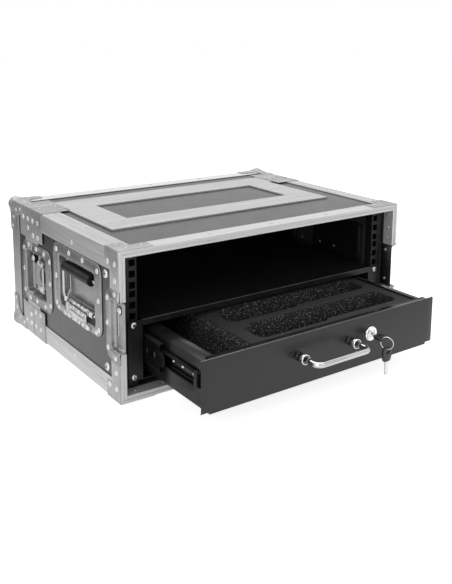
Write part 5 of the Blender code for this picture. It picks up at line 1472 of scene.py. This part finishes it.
# %% [markdown]
# ## Camera
#
# The camera stands left of the drawer and a little above the case, and it looks slightly down. The
# picture's own middle is below the lens's axis, so the frame is shifted instead of tilting the
# camera, which keeps the upright edges nearly parallel as they are in the photograph.

# %% Camera
PICTURE = (452, 584)  # pixels across and up
FOCAL_PIXELS = 787.0
AXIS_PIXEL = (235.9, 179.4)  # where the lens's axis meets the picture, from its top left corner
AZIMUTH, ELEVATION, ROLL = math.radians(-35.85), math.radians(10.65), math.radians(0.5)
CAMERA_PLACE = (-720.0, -893.6, 498.9)
SENSOR = 36.0

camera_data = bpy.data.cameras.new("camera")
camera = bpy.data.objects.new("camera", camera_data)
bpy.context.scene.collection.objects.link(camera)
bpy.context.scene.camera = camera
back = Vector((math.sin(AZIMUTH) * math.cos(ELEVATION), -math.cos(AZIMUTH) * math.cos(ELEVATION),
               math.sin(ELEVATION)))
right = Vector(Z_AXIS).cross(back).normalized()
turn = Matrix((right, back.cross(right), back)).transposed().to_4x4()
camera.matrix_world = (Matrix.Translation(spot(*CAMERA_PLACE)) @ turn
                       @ Matrix.Rotation(ROLL, 4, "Z"))
camera_data.sensor_width = SENSOR
camera_data.lens = FOCAL_PIXELS * SENSOR / PICTURE[1]
camera_data.shift_x = (PICTURE[0] / 2 - AXIS_PIXEL[0]) / PICTURE[1]
camera_data.shift_y = (AXIS_PIXEL[1] - PICTURE[1] / 2) / PICTURE[1]
camera_data.clip_end = 50
print(f"camera {camera_data.lens:.1f} mm, shift {camera_data.shift_x:.3f}",
      f"{camera_data.shift_y:.3f}")

# %% [markdown]
# ## Light, floor and background
#
# The photograph is a product shot on white. A wide soft lamp hangs over the case, one of half its
# power stands at the left front and a weak one at the right front. The white surroundings do the
# rest, since metal mostly shows what is around it. The room is darker near the horizon in
# reflections, which gives the metal its contrast.
#
# The floor is real and keeps a faint shadow. It is brightened for the camera and, a little less,
# in reflections. There it goes dark far from the case on the left, which darkens what the side
# mirrors.

# %% Lamps
LAMP_TARGET = (0, 0, 0.1)


def area_lamp(name, place, width, height, power):
    """A soft lamp that is turned towards the case."""
    data = bpy.data.lights.new(name, "AREA")
    data.shape = "RECTANGLE"
    data.size, data.size_y = width, height
    data.energy = power
    lamp = bpy.data.objects.new(name, data)
    bpy.context.scene.collection.objects.link(lamp)
    lamp.location = place
    aim = Vector(LAMP_TARGET) - Vector(place)
    lamp.rotation_euler = aim.to_track_quat("-Z", "Y").to_euler()


area_lamp("overhead", (0.2, 0.6, 2.2), 2.4, 2.0, 22)
area_lamp("left_front", (-2.0, -1.2, 1.0), 1.2, 1.6, 11)
area_lamp("right_front", (1.4, -2.2, 1.2), 1.2, 1.4, 3.5)

# %% The room around the case
HORIZON = ((0.05, 0.3), (0.14, 0.85), (0.3, 1.0))  # how bright it is at a height, 1 overhead
world = bpy.data.worlds.new("studio")
bpy.context.scene.world = world
world.use_nodes = True
tree = world.node_tree
background = set_inputs(tree.nodes["Background"], Color=grey(1))
rays = tree.nodes.new("ShaderNodeLightPath")
where = tree.nodes.new("ShaderNodeTexCoord")
parts = tree.nodes.new("ShaderNodeSeparateXYZ")
wire(tree, (where.outputs["Generated"], parts.inputs["Vector"]))
mirrored = blend_values(tree, rays.outputs["Is Glossy Ray"], 0.35,
                        grey_ramp(tree, parts.outputs["Z"], 0.15, 1.0, HORIZON))
wire(tree, (blend_values(tree, rays.outputs["Is Camera Ray"], mirrored, 1.0),
            background.inputs["Strength"]))
print("room:", world.name)

# %% The floor
AWAY = (-0.585, 0.811, 0.0)  # the level way from the camera past the case's left side
FADE_START, FADE_END = 0.35, 1.0  # metres that way
floor_data = bpy.data.meshes.new("floor")
floor_mesh = bmesh.new()
bmesh.ops.create_grid(floor_mesh, x_segments=1, y_segments=1, size=12)
floor_mesh.to_mesh(floor_data)
floor_mesh.free()
floor = bpy.data.objects.new("floor", floor_data)
bpy.context.scene.collection.objects.link(floor)
floor_paint, tree, shader = start_material("white_floor", 0.6, specular=0.2)
set_inputs(shader, Emission_Color=grey(1))
rays = tree.nodes.new("ShaderNodeLightPath")
along = tree.nodes.new("ShaderNodeVectorMath")
along.operation = "DOT_PRODUCT"
along.inputs[1].default_value = AWAY
wire(tree, (object_place(tree), along.inputs[0]))
fade = blend_values(tree, along.outputs["Value"], 0.0, 1.0, FADE_START, FADE_END)
hidden = calculate(tree, "MULTIPLY", rays.outputs["Is Glossy Ray"], fade)
mirrored = blend_values(tree, rays.outputs["Is Glossy Ray"], 0.0,
                        blend_values(tree, fade, 0.6, 0.06))
wire(tree,
     (blend_greys(tree, hidden, 0.9, 0.08), shader.inputs["Base Color"]),
     (blend_values(tree, rays.outputs["Is Camera Ray"], mirrored, 0.82),
      shader.inputs["Emission Strength"]))
floor_data.materials.append(floor_paint)
bpy.context.scene.view_settings.view_transform = "Standard"
print("floor fades from", FADE_START, "to", FADE_END, "m in reflections")
